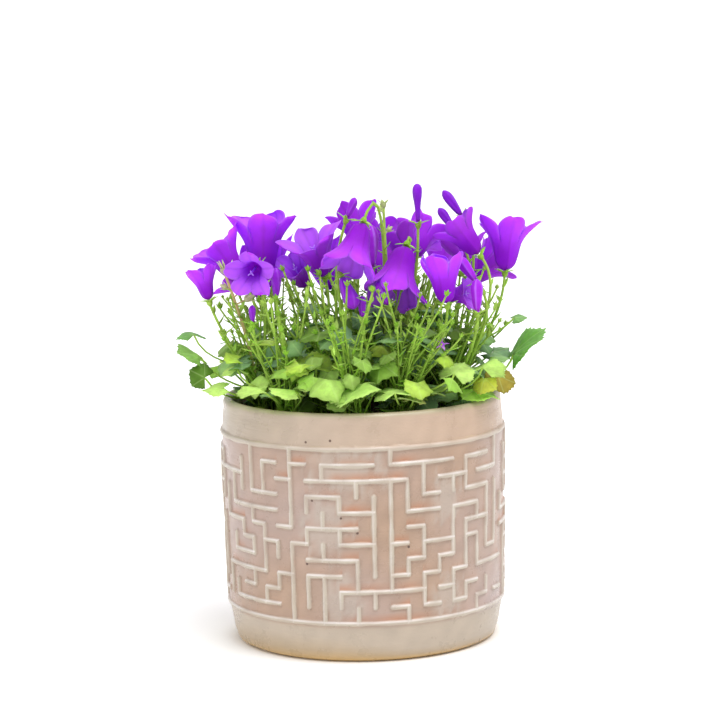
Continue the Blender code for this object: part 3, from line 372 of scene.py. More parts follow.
class Plant:
    """Where every leaf, stem, bloom and bud stands. One seeded draw places them all."""

    def __init__(self):
        self.draw = random.Random(SEED)
        self.placed = []
        self.roots = self.root_places()
        self.blooms, self.buds = [], []
        self.stems, self.leaves = ([[] for _ in self.roots] for _ in range(2))
        self.keep_rim()
        self.place_blooms()
        self.place_buds()
        self.place_stems()
        self.place_leaves()

    def root_places(self):
        places = [np.array((0.0, -3.0))]
        for count, reach, first in SHOOT_RINGS:
            for i in range(count):
                turn = math.radians(first + 360 * i / count + self.draw.uniform(-5, 5))
                far = reach + self.draw.uniform(-3, 3)
                places.append(around(turn, far)[:2])
        return places

    def nearest_root(self, place, inward=0.78):
        under = inward * np.array(place[:2])
        return min(range(len(self.roots)), key=lambda i: np.linalg.norm(self.roots[i] - under))

    def clear(self, owner, points, gap):
        low, high = points.min(axis=0) - gap, points.max(axis=0) + gap
        for other, other_low, other_high, cloud in self.placed:
            if other == owner or (low > other_high).any() or (high < other_low).any():
                continue
            if np.linalg.norm(points[:, None] - cloud[None], axis=2).min() < gap:
                return False
        return True

    def keep(self, owner, points):
        self.placed.append((owner, points.min(axis=0), points.max(axis=0), points))

    def keep_rim(self):
        """Points round the pot's rim, an arc at a time."""
        for arc in range(12):
            turns = math.tau * (arc + np.linspace(0.0, 1.0, 16)) / 12
            for inward, height in ((4.4, 115.5), (2.2, 116.6), (0.0, 115.0)):
                self.keep("pot", np.array([around(turn, RIM_RADIUS - inward, height) for turn in turns]))

    def new_bloom(self, name, seat, azimuth, elevation, roll, length, opening):
        axis = direction(azimuth, elevation)
        bloom = {"name": name, "seat": np.array(seat, float), "axis": axis, "frame": frame_along(axis, roll)}
        bloom.update(length=float(length), opening=float(opening))
        bloom["lobe_turns"] = [self.draw.uniform(-14, 16) for _ in range(LOBES)]
        return bloom

    def place_blooms(self):
        for entry in BLOOMS:
            bloom = self.new_bloom(*entry)
            self.blooms.append(bloom)
            self.keep(bloom["name"], bell_cloud(bloom))
        for i in range(BACK_BLOOMS):
            for _ in range(BLOOM_TRIES):
                turn = math.radians(24 + 132 * (i + 0.5) / BACK_BLOOMS + self.draw.uniform(-9, 9))
                far = BACK_REACHES[i % 2] + self.draw.uniform(-9, 9)
                seat = around(turn, far, BACK_TOP - BACK_FALL * far + self.draw.uniform(-9, 5))
                outward = math.degrees(turn) + self.draw.uniform(-35, 35)
                tilt, roll = self.draw.uniform(28, 80), self.draw.uniform(0, 72)
                length, opening = self.draw.uniform(24, 30), self.draw.uniform(40, 66)
                bloom = self.new_bloom(f"back_{i + 1:02d}", seat, outward, tilt, roll, length, opening)
                if self.clear(bloom["name"], bell_cloud(bloom), BLOOM_GAP):
                    self.blooms.append(bloom)
                    self.keep(bloom["name"], bell_cloud(bloom))
                    break

    def place_buds(self):
        for name, seat, azimuth, elevation, length, radius in BUDS:
            axis = direction(azimuth, elevation)
            bud = {"name": name, "seat": np.array(seat, float), "axis": axis, "frame": frame_along(axis)}
            bud.update(length=length, radius=radius)
            self.buds.append(bud)
            self.keep(name, bud_cloud(bud))

    def root_point(self, owner, toward):
        """Where a stem or a stalk leaves the root's top: on the side that it leans to."""
        root = self.roots[owner]
        turn = math.atan2(toward[1] - root[1], toward[0] - root[0]) + self.draw.uniform(-0.9, 0.9)
        return np.array((*root, 0.0)) + around(turn, self.draw.uniform(0.8, 3.3), SOIL_TOP + 1.0)

    def twigs_on(self, owner, path):
        """At most one narrow leaf on a stem, as a start and an end, kept where it is clear."""
        start = place_on(path, TWIG_SHARE)
        if self.draw.randint(0, 1) or start[2] < TWIG_LOWEST:
            return []
        for _ in range(TWIG_TRIES):
            away = direction(self.draw.uniform(0, 360), self.draw.uniform(15, 60))
            end = start + away * self.draw.uniform(6, 9)
            points = start + np.linspace(0.3, 1.0, 4)[:, None] * (end - start)
            if self.clear(owner, points, TWIG_GAP):
                self.keep(owner, points)
                return [(start, end)]
        return []

    def calyx_frame(self, owner, seat, axis):
        """Turns a calyx until its sepals point past their neighbours."""
        for roll in range(0, 360 // LOBES, 9):
            frame = frame_along(axis, roll)
            tips = np.array([around(math.tau * i / LOBES, 1.0, 0.2) for i in range(LOBES)]) @ frame.T
            points = np.concatenate((seat + 0.6 * CALYX_REACH * tips, seat + CALYX_REACH * tips))
            if self.clear(owner, points, SEPAL_GAP):
                break
        self.keep(owner, points)
        return frame

    def stem_to(self, owner, seat, axis, kind):
        """A stem from its root to a calyx, drawn again until it stands clear of what it doesn't carry."""
        end = seat - CALYX_DROP * axis
        rise = end[2] - SOIL_TOP
        for attempt in range(STEM_TRIES):
            loose = 3 + 18 * attempt / STEM_TRIES
            start = self.root_point(owner, end)
            lean = (self.draw.uniform(-loose, loose), self.draw.uniform(-loose, loose), 0.45 * rise)
            first = start + lean + 0.25 * (end - start) * (1, 1, 0)
            pull = self.draw.uniform(0.22, 0.42) * rise
            path = bezier(start, first, end - pull * axis, end, STEM_POINTS)
            free = run_along(path, stem_rings(axis))
            low, high = SOIL_TOP + 6, np.linalg.norm(free - end, axis=1) > 4
            free = free[(free[:, 2] > low) & high]
            if self.clear(owner, free, STEM_GAP) and self.clear(None, free, OWN_STEM_GAP):
                break
        self.keep(owner, path)
        frame, twigs = self.calyx_frame(owner, seat, axis), self.twigs_on(owner, path)
        self.stems[owner].append(new_stem(path, seat, axis, kind, frame, twigs))

    def place_stems(self):
        for item in sorted(self.blooms + self.buds, key=lambda item: item["seat"][2]):
            owner = self.nearest_root(item["seat"])
            self.stem_to(owner, item["seat"], item["axis"], "calyx")
        for name, seat, azimuth, elevation in SPRIGS:
            owner = self.nearest_root(seat)
            self.stem_to(owner, np.array(seat, float), direction(azimuth, elevation), name)
        for i in range(GREEN_STEMS):
            for _ in range(TIP_TRIES):
                turn, far = spiral(self.draw, i, GREEN_STEMS, GREEN_REACH, 4, 0.3)
                tip = around(turn, far, self.draw.uniform(150, 172))
                if self.clear("tip", tip[None], TIP_GAP):
                    break
            owner = self.nearest_root(tip)
            outward = math.degrees(turn) + self.draw.uniform(-60, 60)
            self.stem_to(owner, tip, direction(outward, self.draw.uniform(55, 85)), "green")

    def stalk_to(self, owner, leaf):
        joint = leaf["joint"]
        start = self.root_point(owner, joint)
        rise = joint[2] - start[2]
        first = start + np.array((self.draw.uniform(-3, 3), self.draw.uniform(-3, 3), 0.7 * rise))
        arrival = 0.75 * leaf["frame"][:, 0] + (0, 0, 0.66)
        second = joint - 0.36 * np.linalg.norm(joint - start) * arrival
        return bezier(start, first, second, joint, STALK_POINTS)

    def try_leaf(self, leaf):
        inward = 0.8 * leaf["joint"][:2]
        away = [np.linalg.norm(root - inward) for root in self.roots]
        for owner in np.argsort(away)[:3]:
            stalk = self.stalk_to(owner, leaf)
            blade = blade_cloud(leaf)
            run = run_along(stalk, STALK_RINGS)
            run = run[run[:, 2] > SOIL_TOP + 5]
            free = self.clear(None, blade, BLADE_GAP) and self.clear(owner, run, BLADE_GAP)
            if free and self.clear(None, run, STALK_GAP):
                leaf["stalk"] = stalk
                self.leaves[owner].append(leaf)
                self.keep(owner, blade)
                self.keep(owner, run)
                return True
        return False

    def place_leaves(self):
        for joint, azimuth, elevation, roll, length, colour in RIM_LEAVES:
            teeth = BROAD_TEETH if length > SMALL_LEAF else SMALL_TEETH
            for attempt in range(TIP_TRIES):
                near = np.array(joint) + [self.draw.uniform(-0.08, 0.08) * attempt for _ in range(3)]
                leaf = new_leaf(self.draw, near, azimuth, elevation, roll, length, teeth)
                leaf["colour"] = colour
                if self.try_leaf(leaf):
                    break
        for i in range(EDGE_LEAVES):
            for _ in range(LEAF_TRIES):
                turn = math.tau * (i + self.draw.uniform(0, 1)) / EDGE_LEAVES
                joint = around(turn, self.draw.uniform(50, 62), self.draw.uniform(120, 131))
                azimuth = math.degrees(turn) + self.draw.uniform(-110, 110)
                rise, roll = self.draw.uniform(-20, 24), self.draw.uniform(-18, 18)
                length = self.draw.uniform(9, 13)
                if self.try_leaf(new_leaf(self.draw, joint, azimuth, rise, roll, length, 6)):
                    break
        for i in range(DOME_LEAVES):
            for _ in range(LEAF_TRIES):
                turn, far = spiral(self.draw, i, DOME_LEAVES, LEAF_REACH, 5, 0.35)
                dome = DOME_TOP - DOME_FALL * (far / DOME_REACH) ** 2 + self.draw.uniform(-10, 8)
                azimuth = math.degrees(turn) + self.draw.uniform(-60, 60)
                rise, roll = self.draw.uniform(-24, 26), self.draw.uniform(-18, 18)
                length = self.draw.uniform(8, 12)
                joint = around(turn, far, dome)
                if self.try_leaf(new_leaf(self.draw, joint, azimuth, rise, roll, length, 5 + i % 2)):
                    break


def wall_radius(height):
    """The pot's outer wall between its foot and its rim, without the relief."""
    heights = (0.0, 1.5, 5.8, 17.9, 20.4, 99.8, 102.3, 113.5)
    inward = (8.6, 5.6, 4.1, 1.9, 1.6, 0.1, 0.2, 1.1)
    return BELLY_RADIUS - float(np.interp(height, heights, inward))


def seeded_walls(draw, places, first, last, runs, gaps):
    """Walls of a few lengths with gaps between them, on each of the places."""
    walls = []
    for place in places:
        start = first + draw.randint(0, 2)
        while start < last - 1:
            end = min(start + draw.choice(runs), last)
            walls.append((place, start, end))
            start = end + draw.choice(gaps)
    return walls


def fret_walls():
    """All bars: the front as listed, the rest of the round by a seeded rule of the same kind."""
    draw = random.Random(FRET_SEED)
    first, last = FRONT_COLUMNS[-1], FRONT_COLUMNS[0] + COLUMNS
    levels, columns = ([(place, *run) for place, runs in walls.items() for run in runs]
                       for walls in (LEVEL_WALLS, COLUMN_WALLS))
    levels += seeded_walls(draw, range(1, ROWS), first, last, (2, 3, 3), (2, 3))
    columns += seeded_walls(draw, range(first + 1, last), 0, ROWS, (3, 4, 5), (1, 2))
    return levels, columns


# Colours, linear
WHITE = (0.9, 0.9, 0.9)
PETAL = (0.66, 0.020, 1.0)
PETAL_LIGHT = (0.62, 0.25, 1.0)
PETAL_DEEP = (0.29, 0.004, 0.62)
BUD_DARK = (0.20, 0.010, 0.52)
BUD_SATIN = (0.20, 0.002, 0.56)
BUD_RIB = (0.52, 0.18, 0.95)
LEAF_FRESH = (0.38, 0.76, 0.05)
LEAF_MID = (0.17, 0.40, 0.02)
LEAF_DARK = (0.06, 0.15, 0.008)
LEAF_BLUE = (0.20, 0.42, 0.24)
LEAF_YELLOW = (0.68, 0.86, 0.02)
STEM_LIGHT = (0.52, 0.74, 0.13)
STEM_MID = (0.24, 0.46, 0.03)
STEM_TAN = (0.66, 0.52, 0.24)
CAPSULE = (0.72, 0.70, 0.45)
BAR_CREAM = (0.50, 0.44, 0.355)
# A painted highlight for the walls' upper edges and left sides
PAINTED_HIGHLIGHT = (0.76, 0.70, 0.68)
GATHER_ORANGE = (0.44, 0.19, 0.10)
# Painted shade below the walls and to the right of the upright ones
PAINTED_SHADE_BROWN = (0.27, 0.19, 0.14)
GROOVE_PINK = (0.42, 0.31, 0.268)
GROOVE_PEACH = (0.41, 0.28, 0.205)
GROOVE_DEEP = (0.36, 0.20, 0.13)
PINHOLE_BROWN = (0.12, 0.07, 0.05)
RIM_PINK = (0.455, 0.335, 0.25)
POOL_WHITE = (0.45, 0.385, 0.33)
FOOT_TAN = (0.42, 0.30, 0.165)
FOOT_ORANGE = (0.66, 0.42, 0.15)
RIM_EDGE = (0.41, 0.37, 0.24)
CRUMB_DARK = (0.030, 0.020, 0.012)
CRUMB_LIGHT = (0.13, 0.09, 0.055)

# Thickness of the sheets, and the sizes of leaves and stems
PETAL_SHEET, LEAF_SHEET, NARROW_SHEET = 0.3, 0.3, 0.24
BLADE_RINGS, THICKET_RINGS = 6, 4
VEIN_DEPTH, VEIN_WIDTH, CRINKLE = 0.22, 0.25, 0.16
STALK_WIDE, STALK_NARROWS, STALK_FLARE, STALK_END, STALK_TIP = 0.55, 0.13, 0.012, 0.08, 0.6
STEM_WIDE, STEM_NARROW, THICK_STEM = 1.05, 0.78, 0.8
STEM_SIDES, SLIM_SIDES, THICK_POINTS, SLIM_POINTS = 8, 6, 22, 14
STYLE_RADIUS, STYLE_REACH = 0.4, 0.5

# A bell's fine form, in shares of its length, and the overlap of its lobes in shares of their width
LOBE_RIB, LOBE_WAVE, WALL_FOLD, LOBE_CUP, LOBE_TWIST, LOBE_CURL = 0.012, 0.03, 0.014, 0.03, 0.035, 0.28
LOBE_OVERLAP = 0.1

# Outlines along an axis: heights and radii of a calyx's cup and of a young bud
CUP_OUTLINE = ((-2.4, 0.72), (-1.4, 1.3), (-0.4, 1.55), (0.35, 1.2))
YOUNG_OUTLINE = ((0.0, 0.5), (0.5, 1.25), (1.3, 1.5), (2.3, 1.15), (3.6, 0.75), (4.6, 0.2))

# A closed bud: shares of its length and of its radius, the wider end of the club, and how pale its ribs are
BUD_SHARES = (0.0, 0.12, 0.3, 0.5, 0.66, 0.78, 0.88, 0.95, 0.985)
BUD_WIDTHS = (0.34, 0.56, 0.72, 0.86, 0.97, 0.96, 0.76, 0.46, 0.2)
CLUB_WIDTHS = (0.40, 0.44, 0.5, 0.66, 0.9, 1.0, 0.95, 0.7, 0.35)
BUD_SIDES, BUD_PLEAT = 40, 0.13
SATIN_BUDS = ("club", "pair_outer", "pair_inner")
PALE_RIBS = {"ribbed": 0.95, "right_ribbed": 0.7, "right_striped": 0.45, "middle": 0.4}
PLAIN_RIBS = 0.22


def mix(first, second, share):
    return np.array(first) + (np.array(second) - np.array(first)) * share


def smooth(values, low, high):
    share = np.clip((values - low) / (high - low), 0.0, 1.0)
    return share * share * (3 - 2 * share)


def ridge(values, wide):
    """1 where the values are 0, and less on both sides."""
    return np.exp(-((values / wide) ** 2))


def bump(values, low, top, high):
    """Up from 0 to 1 and down to 0 again."""
    return smooth(values, low, top) * (1 - smooth(values, top, high))


def linked(name, data):
    obj = bpy.data.objects.new(name, data)
    bpy.context.scene.collection.objects.link(obj)
    return obj


class Pile:
    """The points, faces, colours and marks of one piece, gathered part by part."""

    def __init__(self):
        self.points, self.faces, self.tints, self.marks = [], [], [], []
        self.count = 0

    def add(self, points, faces, tint, marks=None):
        points = np.asarray(points, float)
        self.points.append(points)
        self.faces.extend([tuple(self.count + i for i in face) for face in faces])
        self.tints.append(np.broadcast_to(np.asarray(tint, float), (len(points), 3)))
        self.marks.append(np.zeros((len(points), 3)) if marks is None else marks)
        self.count += len(points)

    def piece(self, name, look, slot, *nodes):
        mesh = bpy.data.meshes.new(name)
        mesh.from_pydata((np.concatenate(self.points) * MM).tolist(), [], self.faces)
        tints = np.concatenate((np.concatenate(self.tints), np.ones((self.count, 1))), axis=1)
        mesh.color_attributes.new("tint", "FLOAT_COLOR", "POINT").data.foreach_set("color", tints.ravel())
        marks = np.concatenate(self.marks)
        mesh.attributes.new("mark", "FLOAT_VECTOR", "POINT").data.foreach_set("vector", marks.ravel())
        mesh.materials.append(look)
        mesh.shade_smooth()
        obj = linked(name, mesh)
        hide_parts(*nodes)
        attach(obj, "root")


def grid_faces(rows, columns, closed=False):
    """Faces of a grid of points, row by row, joined round where it is closed."""
    faces = []
    for row in range(rows - 1):
        for column in range(columns if closed else columns - 1):
            a, b = row * columns + column, row * columns + (column + 1) % columns
            faces.append((a, b, b + columns, a + columns))
    return faces


def turned(faces, first=0):
    """Faces with their other side out, with their points counted from another first one."""
    return [tuple(first + i for i in reversed(face)) for face in faces]


def tube_faces(rows, sides):
    """A closed tube's faces, with a cap at its start and one at its end."""
    caps = [tuple(reversed(range(sides))), tuple(range((rows - 1) * sides, rows * sides))]
    return grid_faces(rows, sides, closed=True) + caps


def thick_sheet(pile, points, faces, thickness, top, under, marks=None):
    """A closed thin solid from a sheet of faces, with its own colours above and below."""
    points = np.asarray(points, float)
    normals = np.zeros_like(points)
    for face in faces:
        corners = points[list(face)]
        normals[list(face)] += np.cross(corners[2] - corners[0], corners[-1] - corners[1])
    normals /= np.maximum(np.linalg.norm(normals, axis=1), 1e-9)[:, None]
    count = len(points)
    edges = dict.fromkeys(edge for face in faces for edge in zip(face, face[1:] + face[:1]))
    solid = list(faces) + turned(faces, count)
    solid += [(b, a, count + a, count + b) for a, b in edges if (b, a) not in edges]
    both = np.concatenate((points + normals * thickness / 2, points - normals * thickness / 2))
    tints = np.concatenate((np.broadcast_to(top, (count, 3)), np.broadcast_to(under, (count, 3))))
    pile.add(both, solid, tints, None if marks is None else np.concatenate((marks, marks)))


def turned_along(path):
    """Two directions across a path at each of its points, without twist."""
    along = np.gradient(path, axis=0)
    along /= np.linalg.norm(along, axis=1)[:, None]
    across = frame_along(along[0])[:, 0]
    firsts = []
    for ahead in along:
        across = across - ahead * np.dot(across, ahead)
        across = across / np.linalg.norm(across)
        firsts.append(across)
    firsts = np.array(firsts)
    return firsts, np.cross(along, firsts)


def add_tube(pile, path, radii, tints, sides=STEM_SIDES):
    first, second = turned_along(path)
    turns = math.tau * np.arange(sides)[None, :, None] / sides
    across = np.cos(turns) * first[:, None] + np.sin(turns) * second[:, None]
    count = len(path)
    rings = path[:, None] + np.broadcast_to(radii, count)[:, None, None] * across
    tints = np.broadcast_to(np.asarray(tints, float), (count, 3))
    pile.add(rings.reshape(-1, 3), tube_faces(count, sides), np.repeat(tints, sides, axis=0))


def even_path(path, count):
    """A path with its points spread evenly, count of them."""
    steps = np.concatenate(((0.0,), np.cumsum(np.linalg.norm(np.diff(path, axis=0), axis=1))))
    even = np.linspace(0.0, steps[-1], count)
    return np.stack([np.interp(even, steps, path[:, i]) for i in range(3)], axis=1)


def off_whole(values):
    """0 on a whole number and 1 halfway between two."""
    return 2 * np.abs(values - np.round(values))


def blade_sheet(leaf, rings):
    """A blade as a fine sheet: points, faces, and marks that hold each point's tooth and share of reach."""
    teeth = leaf["teeth"]
    rays = (teeth - 1) * 2 * rings + 1
    place = np.linspace(0.0, teeth - 1, rays)
    angles = np.radians(BLADE_SPREAD * (2 * place / (teeth - 1) - 1))
    valley, notch = off_whole(place), off_whole((rings - 2) * place)
    reach = blade_reach(leaf, angles) * (1.03 - 0.11 * valley - 0.3 / rings**0.7 * notch)
    points, marks = [leaf["joint"]], [(0.5 * (teeth - 1), 0.0, 0.0)]
    for share in np.linspace(1 / rings, 1.0, rings):
        for ray in range(rays):
            dip = VEIN_DEPTH * ridge(valley[ray], VEIN_WIDTH) * math.sin(math.pi * share)
            dip += CRINKLE * math.sin(9 * share + leaf["phase"]) * math.sin(math.pi * valley[ray])
            points.append(blade_point(leaf, angles[ray], reach[ray] * share) - dip * leaf["frame"][:, 2])
            marks.append((place[ray], share, 1.0))
    faces = [(0, i + 1, i + 2) for i in range(rays - 1)] + turned(grid_faces(rings, rays), 1)
    return np.array(points), faces, np.array(marks)


def add_leaf(pile, leaf, tint, stalk_tint, rings=BLADE_RINGS):
    """A blade, paler at its joint and underneath, on a stalk that widens into it."""
    points, faces, marks = blade_sheet(leaf, rings)
    tooth, reach = marks[:, 0:1], marks[:, 1:2]
    bright = min(1.0, float(tint[1]) / 0.7)
    pale = bright * (0.6 - 0.3 * smooth(reach, 0.0, 0.4))
    top = mix(tint, LEAF_PALE, pale) * (1.06 - 0.14 * reach + 0.08 * np.sin(2.2 * tooth + leaf["phase"]))
    thick_sheet(pile, points, faces, LEAF_SHEET, top, mix(tint, LEAF_PALE, 0.4 * bright), marks)
    path = even_path(leaf["stalk"], SLIM_POINTS)
    ahead = (path[-1] - path[-2]) / np.linalg.norm(path[-1] - path[-2])
    path = np.concatenate((path[:-1], [path[-1] - STALK_TIP * ahead, path[-1]]))
    shares = np.linspace(0.0, 1.0, len(path))
    radii = STALK_WIDE - STALK_NARROWS * shares + STALK_FLARE * leaf["length"] * smooth(shares, 0.75, 1.0)
    radii[-1] = STALK_END
    tints = mix(mix(stalk_tint, LEAF_DARK, 0.5), stalk_tint, shares[:, None] ** 0.5)
    add_tube(pile, path, radii, tints, SLIM_SIDES)


def add_narrow_leaf(pile, start, end, width, tint, curl=0.18):
    """A narrow leaf or sepal: a folded, pointed strip that curls back towards its end."""
    place, length = frame_along(end - start), np.linalg.norm(end - start)
    shares = np.linspace(0.0, 1.0, 6)
    points = []
    for share in shares:
        half = width * math.sin(math.pi * min(1.0, 0.16 + 0.84 * share) ** 0.8) ** 0.7 * (1 - share**4)
        bow = curl * length * (share * share - share)
        for side in (-1.0, 0.0, 1.0):
            local = np.array((side * half, bow + 0.28 * half * abs(side), share * length))
            points.append(start + place @ local)
    thick_sheet(pile, points, grid_faces(len(shares), 3), NARROW_SHEET, tint, mix(tint, LEAF_PALE, 0.3))


def add_ribbed(pile, seat, place, outline, size, ribs, twist, tint):
    """A closed body along an axis, with ribs and grooves by turns and a twist in radians a mm."""
    points = []
    for height, radius in outline:
        for i in range(2 * LOBES):
            turn = math.pi * i / LOBES + twist * height
            points.append(seat + place @ around(turn, size * radius * ribs[i % 2], size * height))
    pile.add(points, tube_faces(len(outline), 2 * LOBES), tint)


def add_calyx(pile, seat, place, axis, tint, reach=CALYX_REACH, lean=CALYX_ANGLE):
    """A ribbed cup and five pointed sepals round the base of a bell or a bud."""
    base = seat - CALYX_DROP * axis
    add_ribbed(pile, base, place, CUP_OUTLINE, 1.0, (1.08, 0.9), 0.0, tint * 0.85)
    slope = math.radians(lean)
    for i in range(LOBES):
        out = place @ around(math.tau * i / LOBES)
        end = base + reach * (math.sin(slope) * out + math.cos(slope) * axis)
        add_narrow_leaf(pile, base + 0.8 * out - 0.2 * axis, end, 0.75, tint, -0.12)


def add_green_bud(pile, seat, axis, size, tint):
    """A young bud shut inside its sepals."""
    place = frame_along(axis)
    add_ribbed(pile, seat, place, YOUNG_OUTLINE, size, (1.1, 0.82), 0.12, tint)
    for i in range(LOBES):
        out = place @ around(math.tau * i / LOBES + 0.3)
        start, end = seat + size * (0.9 * out + 0.5 * axis), seat + size * (2.3 * out + 3.6 * axis)
        add_narrow_leaf(pile, start, end, 0.5 * size, tint * 1.08, 0.1)


def add_side_bud(pile, start, away, reach, radius, stalk_tint, size, tint):
    """A green bud or a dry capsule on its own short stalk."""
    seat = start + reach * away
    add_tube(pile, np.linspace(start, seat, 4), radius, stalk_tint, 5)
    add_green_bud(pile, seat, away, size, tint)


def stem_tints(path, kind, tone):
    heights = (path[:, 2:3] - SOIL_TOP) / 70
    if kind == "dry_capsule":
        return mix(STEM_LIGHT, STEM_TAN, np.clip(1.5 * heights, 0, 1))
    upper = mix(STEM_MID, STEM_LIGHT, 0.35 + 0.65 * tone)
    return mix(mix(STEM_MID, LEAF_DARK, 0.35), upper, np.clip(heights * 1.3, 0, 1))


def add_stem(pile, stem, draw, radius=THICK_STEM, sides=STEM_SIDES):
    """A stem with what it carries at its tip, its twigs, and narrow leaves all along it."""
    path = even_path(stem["path"], THICK_POINTS if sides == STEM_SIDES else SLIM_POINTS)
    seat, axis = stem["seat"], stem["axis"]
    tints = stem_tints(path, stem["kind"], draw.random())
    add_tube(pile, path, np.linspace(STEM_WIDE, STEM_NARROW, len(path)) * radius, tints, sides)
    tint = mix(LEAF_FRESH, STEM_LIGHT, draw.random())
    if stem["kind"] == "green":
        add_green_bud(pile, path[-1], axis, draw.uniform(0.75, 1.15) * min(1.0, 1.2 * radius), tint * 0.8)
    elif stem["kind"] == "dry_capsule":
        add_calyx(pile, seat, stem["frame"], axis, np.array(CAPSULE), 4.4, 20)
        for share in (0.97, 0.9, 0.84, 0.78):
            away = direction(draw.uniform(0, 360), draw.uniform(20, 50))
            reach, size = draw.uniform(2.0, 4.5), draw.uniform(0.9, 1.25)
            husk = np.array(CAPSULE) * draw.uniform(0.9, 1.15)
            add_side_bud(pile, place_on(path, share), away, reach, 0.4, STEM_TAN, size, husk)
    elif stem["kind"] == "tall_sprig":
        pale = mix(CAPSULE, STEM_LIGHT, 0.4)
        add_calyx(pile, seat, stem["frame"], axis, pale, 3.4, 60)
        for share, reach in ((0.96, 3.0), (0.9, 2.0)):
            away = direction(200 * reach, 35)
            add_side_bud(pile, place_on(path, share), away, reach, 0.35, pale, 0.8, pale)
    else:
        add_calyx(pile, seat, stem["frame"], axis, tint)
    for start, end in stem["twigs"]:
        add_narrow_leaf(pile, start, end, 1.25, tint * draw.uniform(0.8, 1.1))
    for share in np.arange(0.3, 0.97, draw.uniform(0.07, 0.11)):
        start = place_on(path, share)
        away = direction(draw.uniform(0, 360), draw.uniform(5, 60))
        end = start + away * draw.uniform(3.0, 6.5)
        add_narrow_leaf(pile, start, end, draw.uniform(0.6, 1.2), tint * draw.uniform(0.55, 1.05))


def bell_fine(bloom, lobe, side, share):
    """A point of the bell with its folded mid rib, round lobe tips and the wave of each lobe's edge."""
    length, axis, turn = bloom["length"], bloom["axis"], bloom["lobe_turns"][lobe]
    past = max(0.0, (share - NOTCH) / (1 - NOTCH))
    if past < 1:
        side = side * math.sqrt((1 - past**6) / (1 - past**3))
    side = side * (1 + LOBE_OVERLAP * math.sin(math.pi * min(1.0, 4 * past) / 2) * (1 - past))
    point = bell_point(bloom, lobe, side, share) - LOBE_LIFT * length * past**3 * side * side * axis
    rib = LOBE_RIB * ridge(side, 0.16) * math.sin(math.pi * min(1.0, share * 1.05))
    wave = LOBE_WAVE * past * abs(side) ** 1.5 * math.sin(6 * past + 9 * turn + 2 * (side > 0))
    fold = WALL_FOLD * (1 - abs(side)) * math.sin(math.pi * min(1.0, share / NOTCH)) * (share < NOTCH)
    cup = LOBE_CUP * past * (1 - side * side) * math.sin(math.pi * past)
    twist = LOBE_TWIST * past * side * math.sin(23 * turn + lobe)
    curl = LOBE_CURL * max(0.0, past - 0.55) ** 2 * (1 + math.sin(31 * turn))
    outward = bloom["frame"] @ around(math.tau * lobe / LOBES)
    bend = rib + wave + fold + cup + twist - curl
    return point + length * (bend * outward + (0.6 * wave - 0.3 * curl) * axis)


def add_bell(pile, bloom):
    """A bell as one thin closed sheet with ribbed wall and waved lobes, and its style inside."""
    points, marks, tones = [], [], []

    def put(share, places, tone=1.0):
        """Adds points at a share of the wall, and returns their numbers."""
        points.extend(bell_fine(bloom, lobe, side, share) for lobe, side in places)
        marks.extend((side, share, 1.0) for _, side in places)
        tones.extend(tone for _ in places)
        return range(len(points) - len(places), len(points))

    wall_rows, lobe_rows, steps = 11, 15, 10
    lower = np.linspace(0.0, NOTCH, wall_rows)
    upper = NOTCH + (1 - NOTCH) * (1 - (1 - np.linspace(0.0, 1.0, lobe_rows)[1:]) ** 1.5)
    sides = np.linspace(-1.0, 1.0, steps + 1)
    columns = steps * LOBES
    put(0.0, [(0, 0.0)])
    for share in lower[1:]:
        put(share, [(lobe, side) for lobe in range(LOBES) for side in sides[:-1]])
    faces = [(0, 1 + i, 1 + (i + 1) % columns) for i in range(columns)]
    faces += turned(grid_faces(wall_rows - 1, columns, closed=True), 1)
    last = 1 + (wall_rows - 2) * columns
    for lobe, turn in enumerate(bloom["lobe_turns"]):
        tone = 1 + 0.07 * math.sin(40 * turn)
        before = [last + (lobe * steps + i) % columns for i in range(steps + 1)]
        for share in upper[:-1]:
            row = put(share, [(lobe, side) for side in sides], tone)
            faces += [(before[i], row[i], row[i + 1], before[i + 1]) for i in range(steps)]
            before = row
        tip = put(1.0, [(lobe, 0.0)], tone)[0]
        faces += [(before[i], tip, before[i + 1]) for i in range(steps)]
    marks = np.array(marks)
    side, share = marks[:, 0:1], marks[:, 1:2]
    outer = mix(mix(PETAL, PETAL_DEEP, 0.3), mix(PETAL, PETAL_LIGHT, 0.6), smooth(share, 0.1, 0.6))
    outer = outer * (1 - 0.1 * ridge(side, 0.08) + 0.1 * ridge(np.abs(side) - 0.3, 0.2))
    # Inside, darker towards the base: painted shade in the throat
    inner = mix(mix(PETAL_DEEP, PETAL, 0.2), mix(PETAL, PETAL_LIGHT, 0.2), smooth(share, 0.25, 0.8))
    inner = inner * (1 - 0.1 * ridge(side, 0.07))
    # Lighter lobe edges towards their tips: a painted sheen
    rim = smooth(np.abs(side), 0.75, 1.0) * smooth(share, NOTCH, 0.75)
    tone = bloom["tone"] * np.array(tones)[:, None]
    outer, inner = mix(outer, PETAL_LIGHT, 0.5 * rim) * tone, mix(inner, PETAL_LIGHT, 0.4 * rim) * tone
    thick_sheet(pile, points, faces, PETAL_SHEET, outer, inner, marks)
    reach = np.linspace(0.5, STYLE_REACH * bloom["length"], 8)
    style = bloom["seat"] + reach[:, None] * bloom["axis"]
    add_tube(pile, style, STYLE_RADIUS, PETAL_LIGHT, SLIM_SIDES)
    for i in range(3):
        out, turns = bloom["frame"] @ around(math.tau * i / 3), np.linspace(0, 1.5, 6)[:, None]
        curl = style[-1] + 1.5 * (out * np.sin(turns) + bloom["axis"] * np.sin(1.2 * turns))
        add_tube(pile, curl, np.linspace(0.36, 0.25, 6), mix(PETAL_LIGHT, WHITE, 0.15), 5)


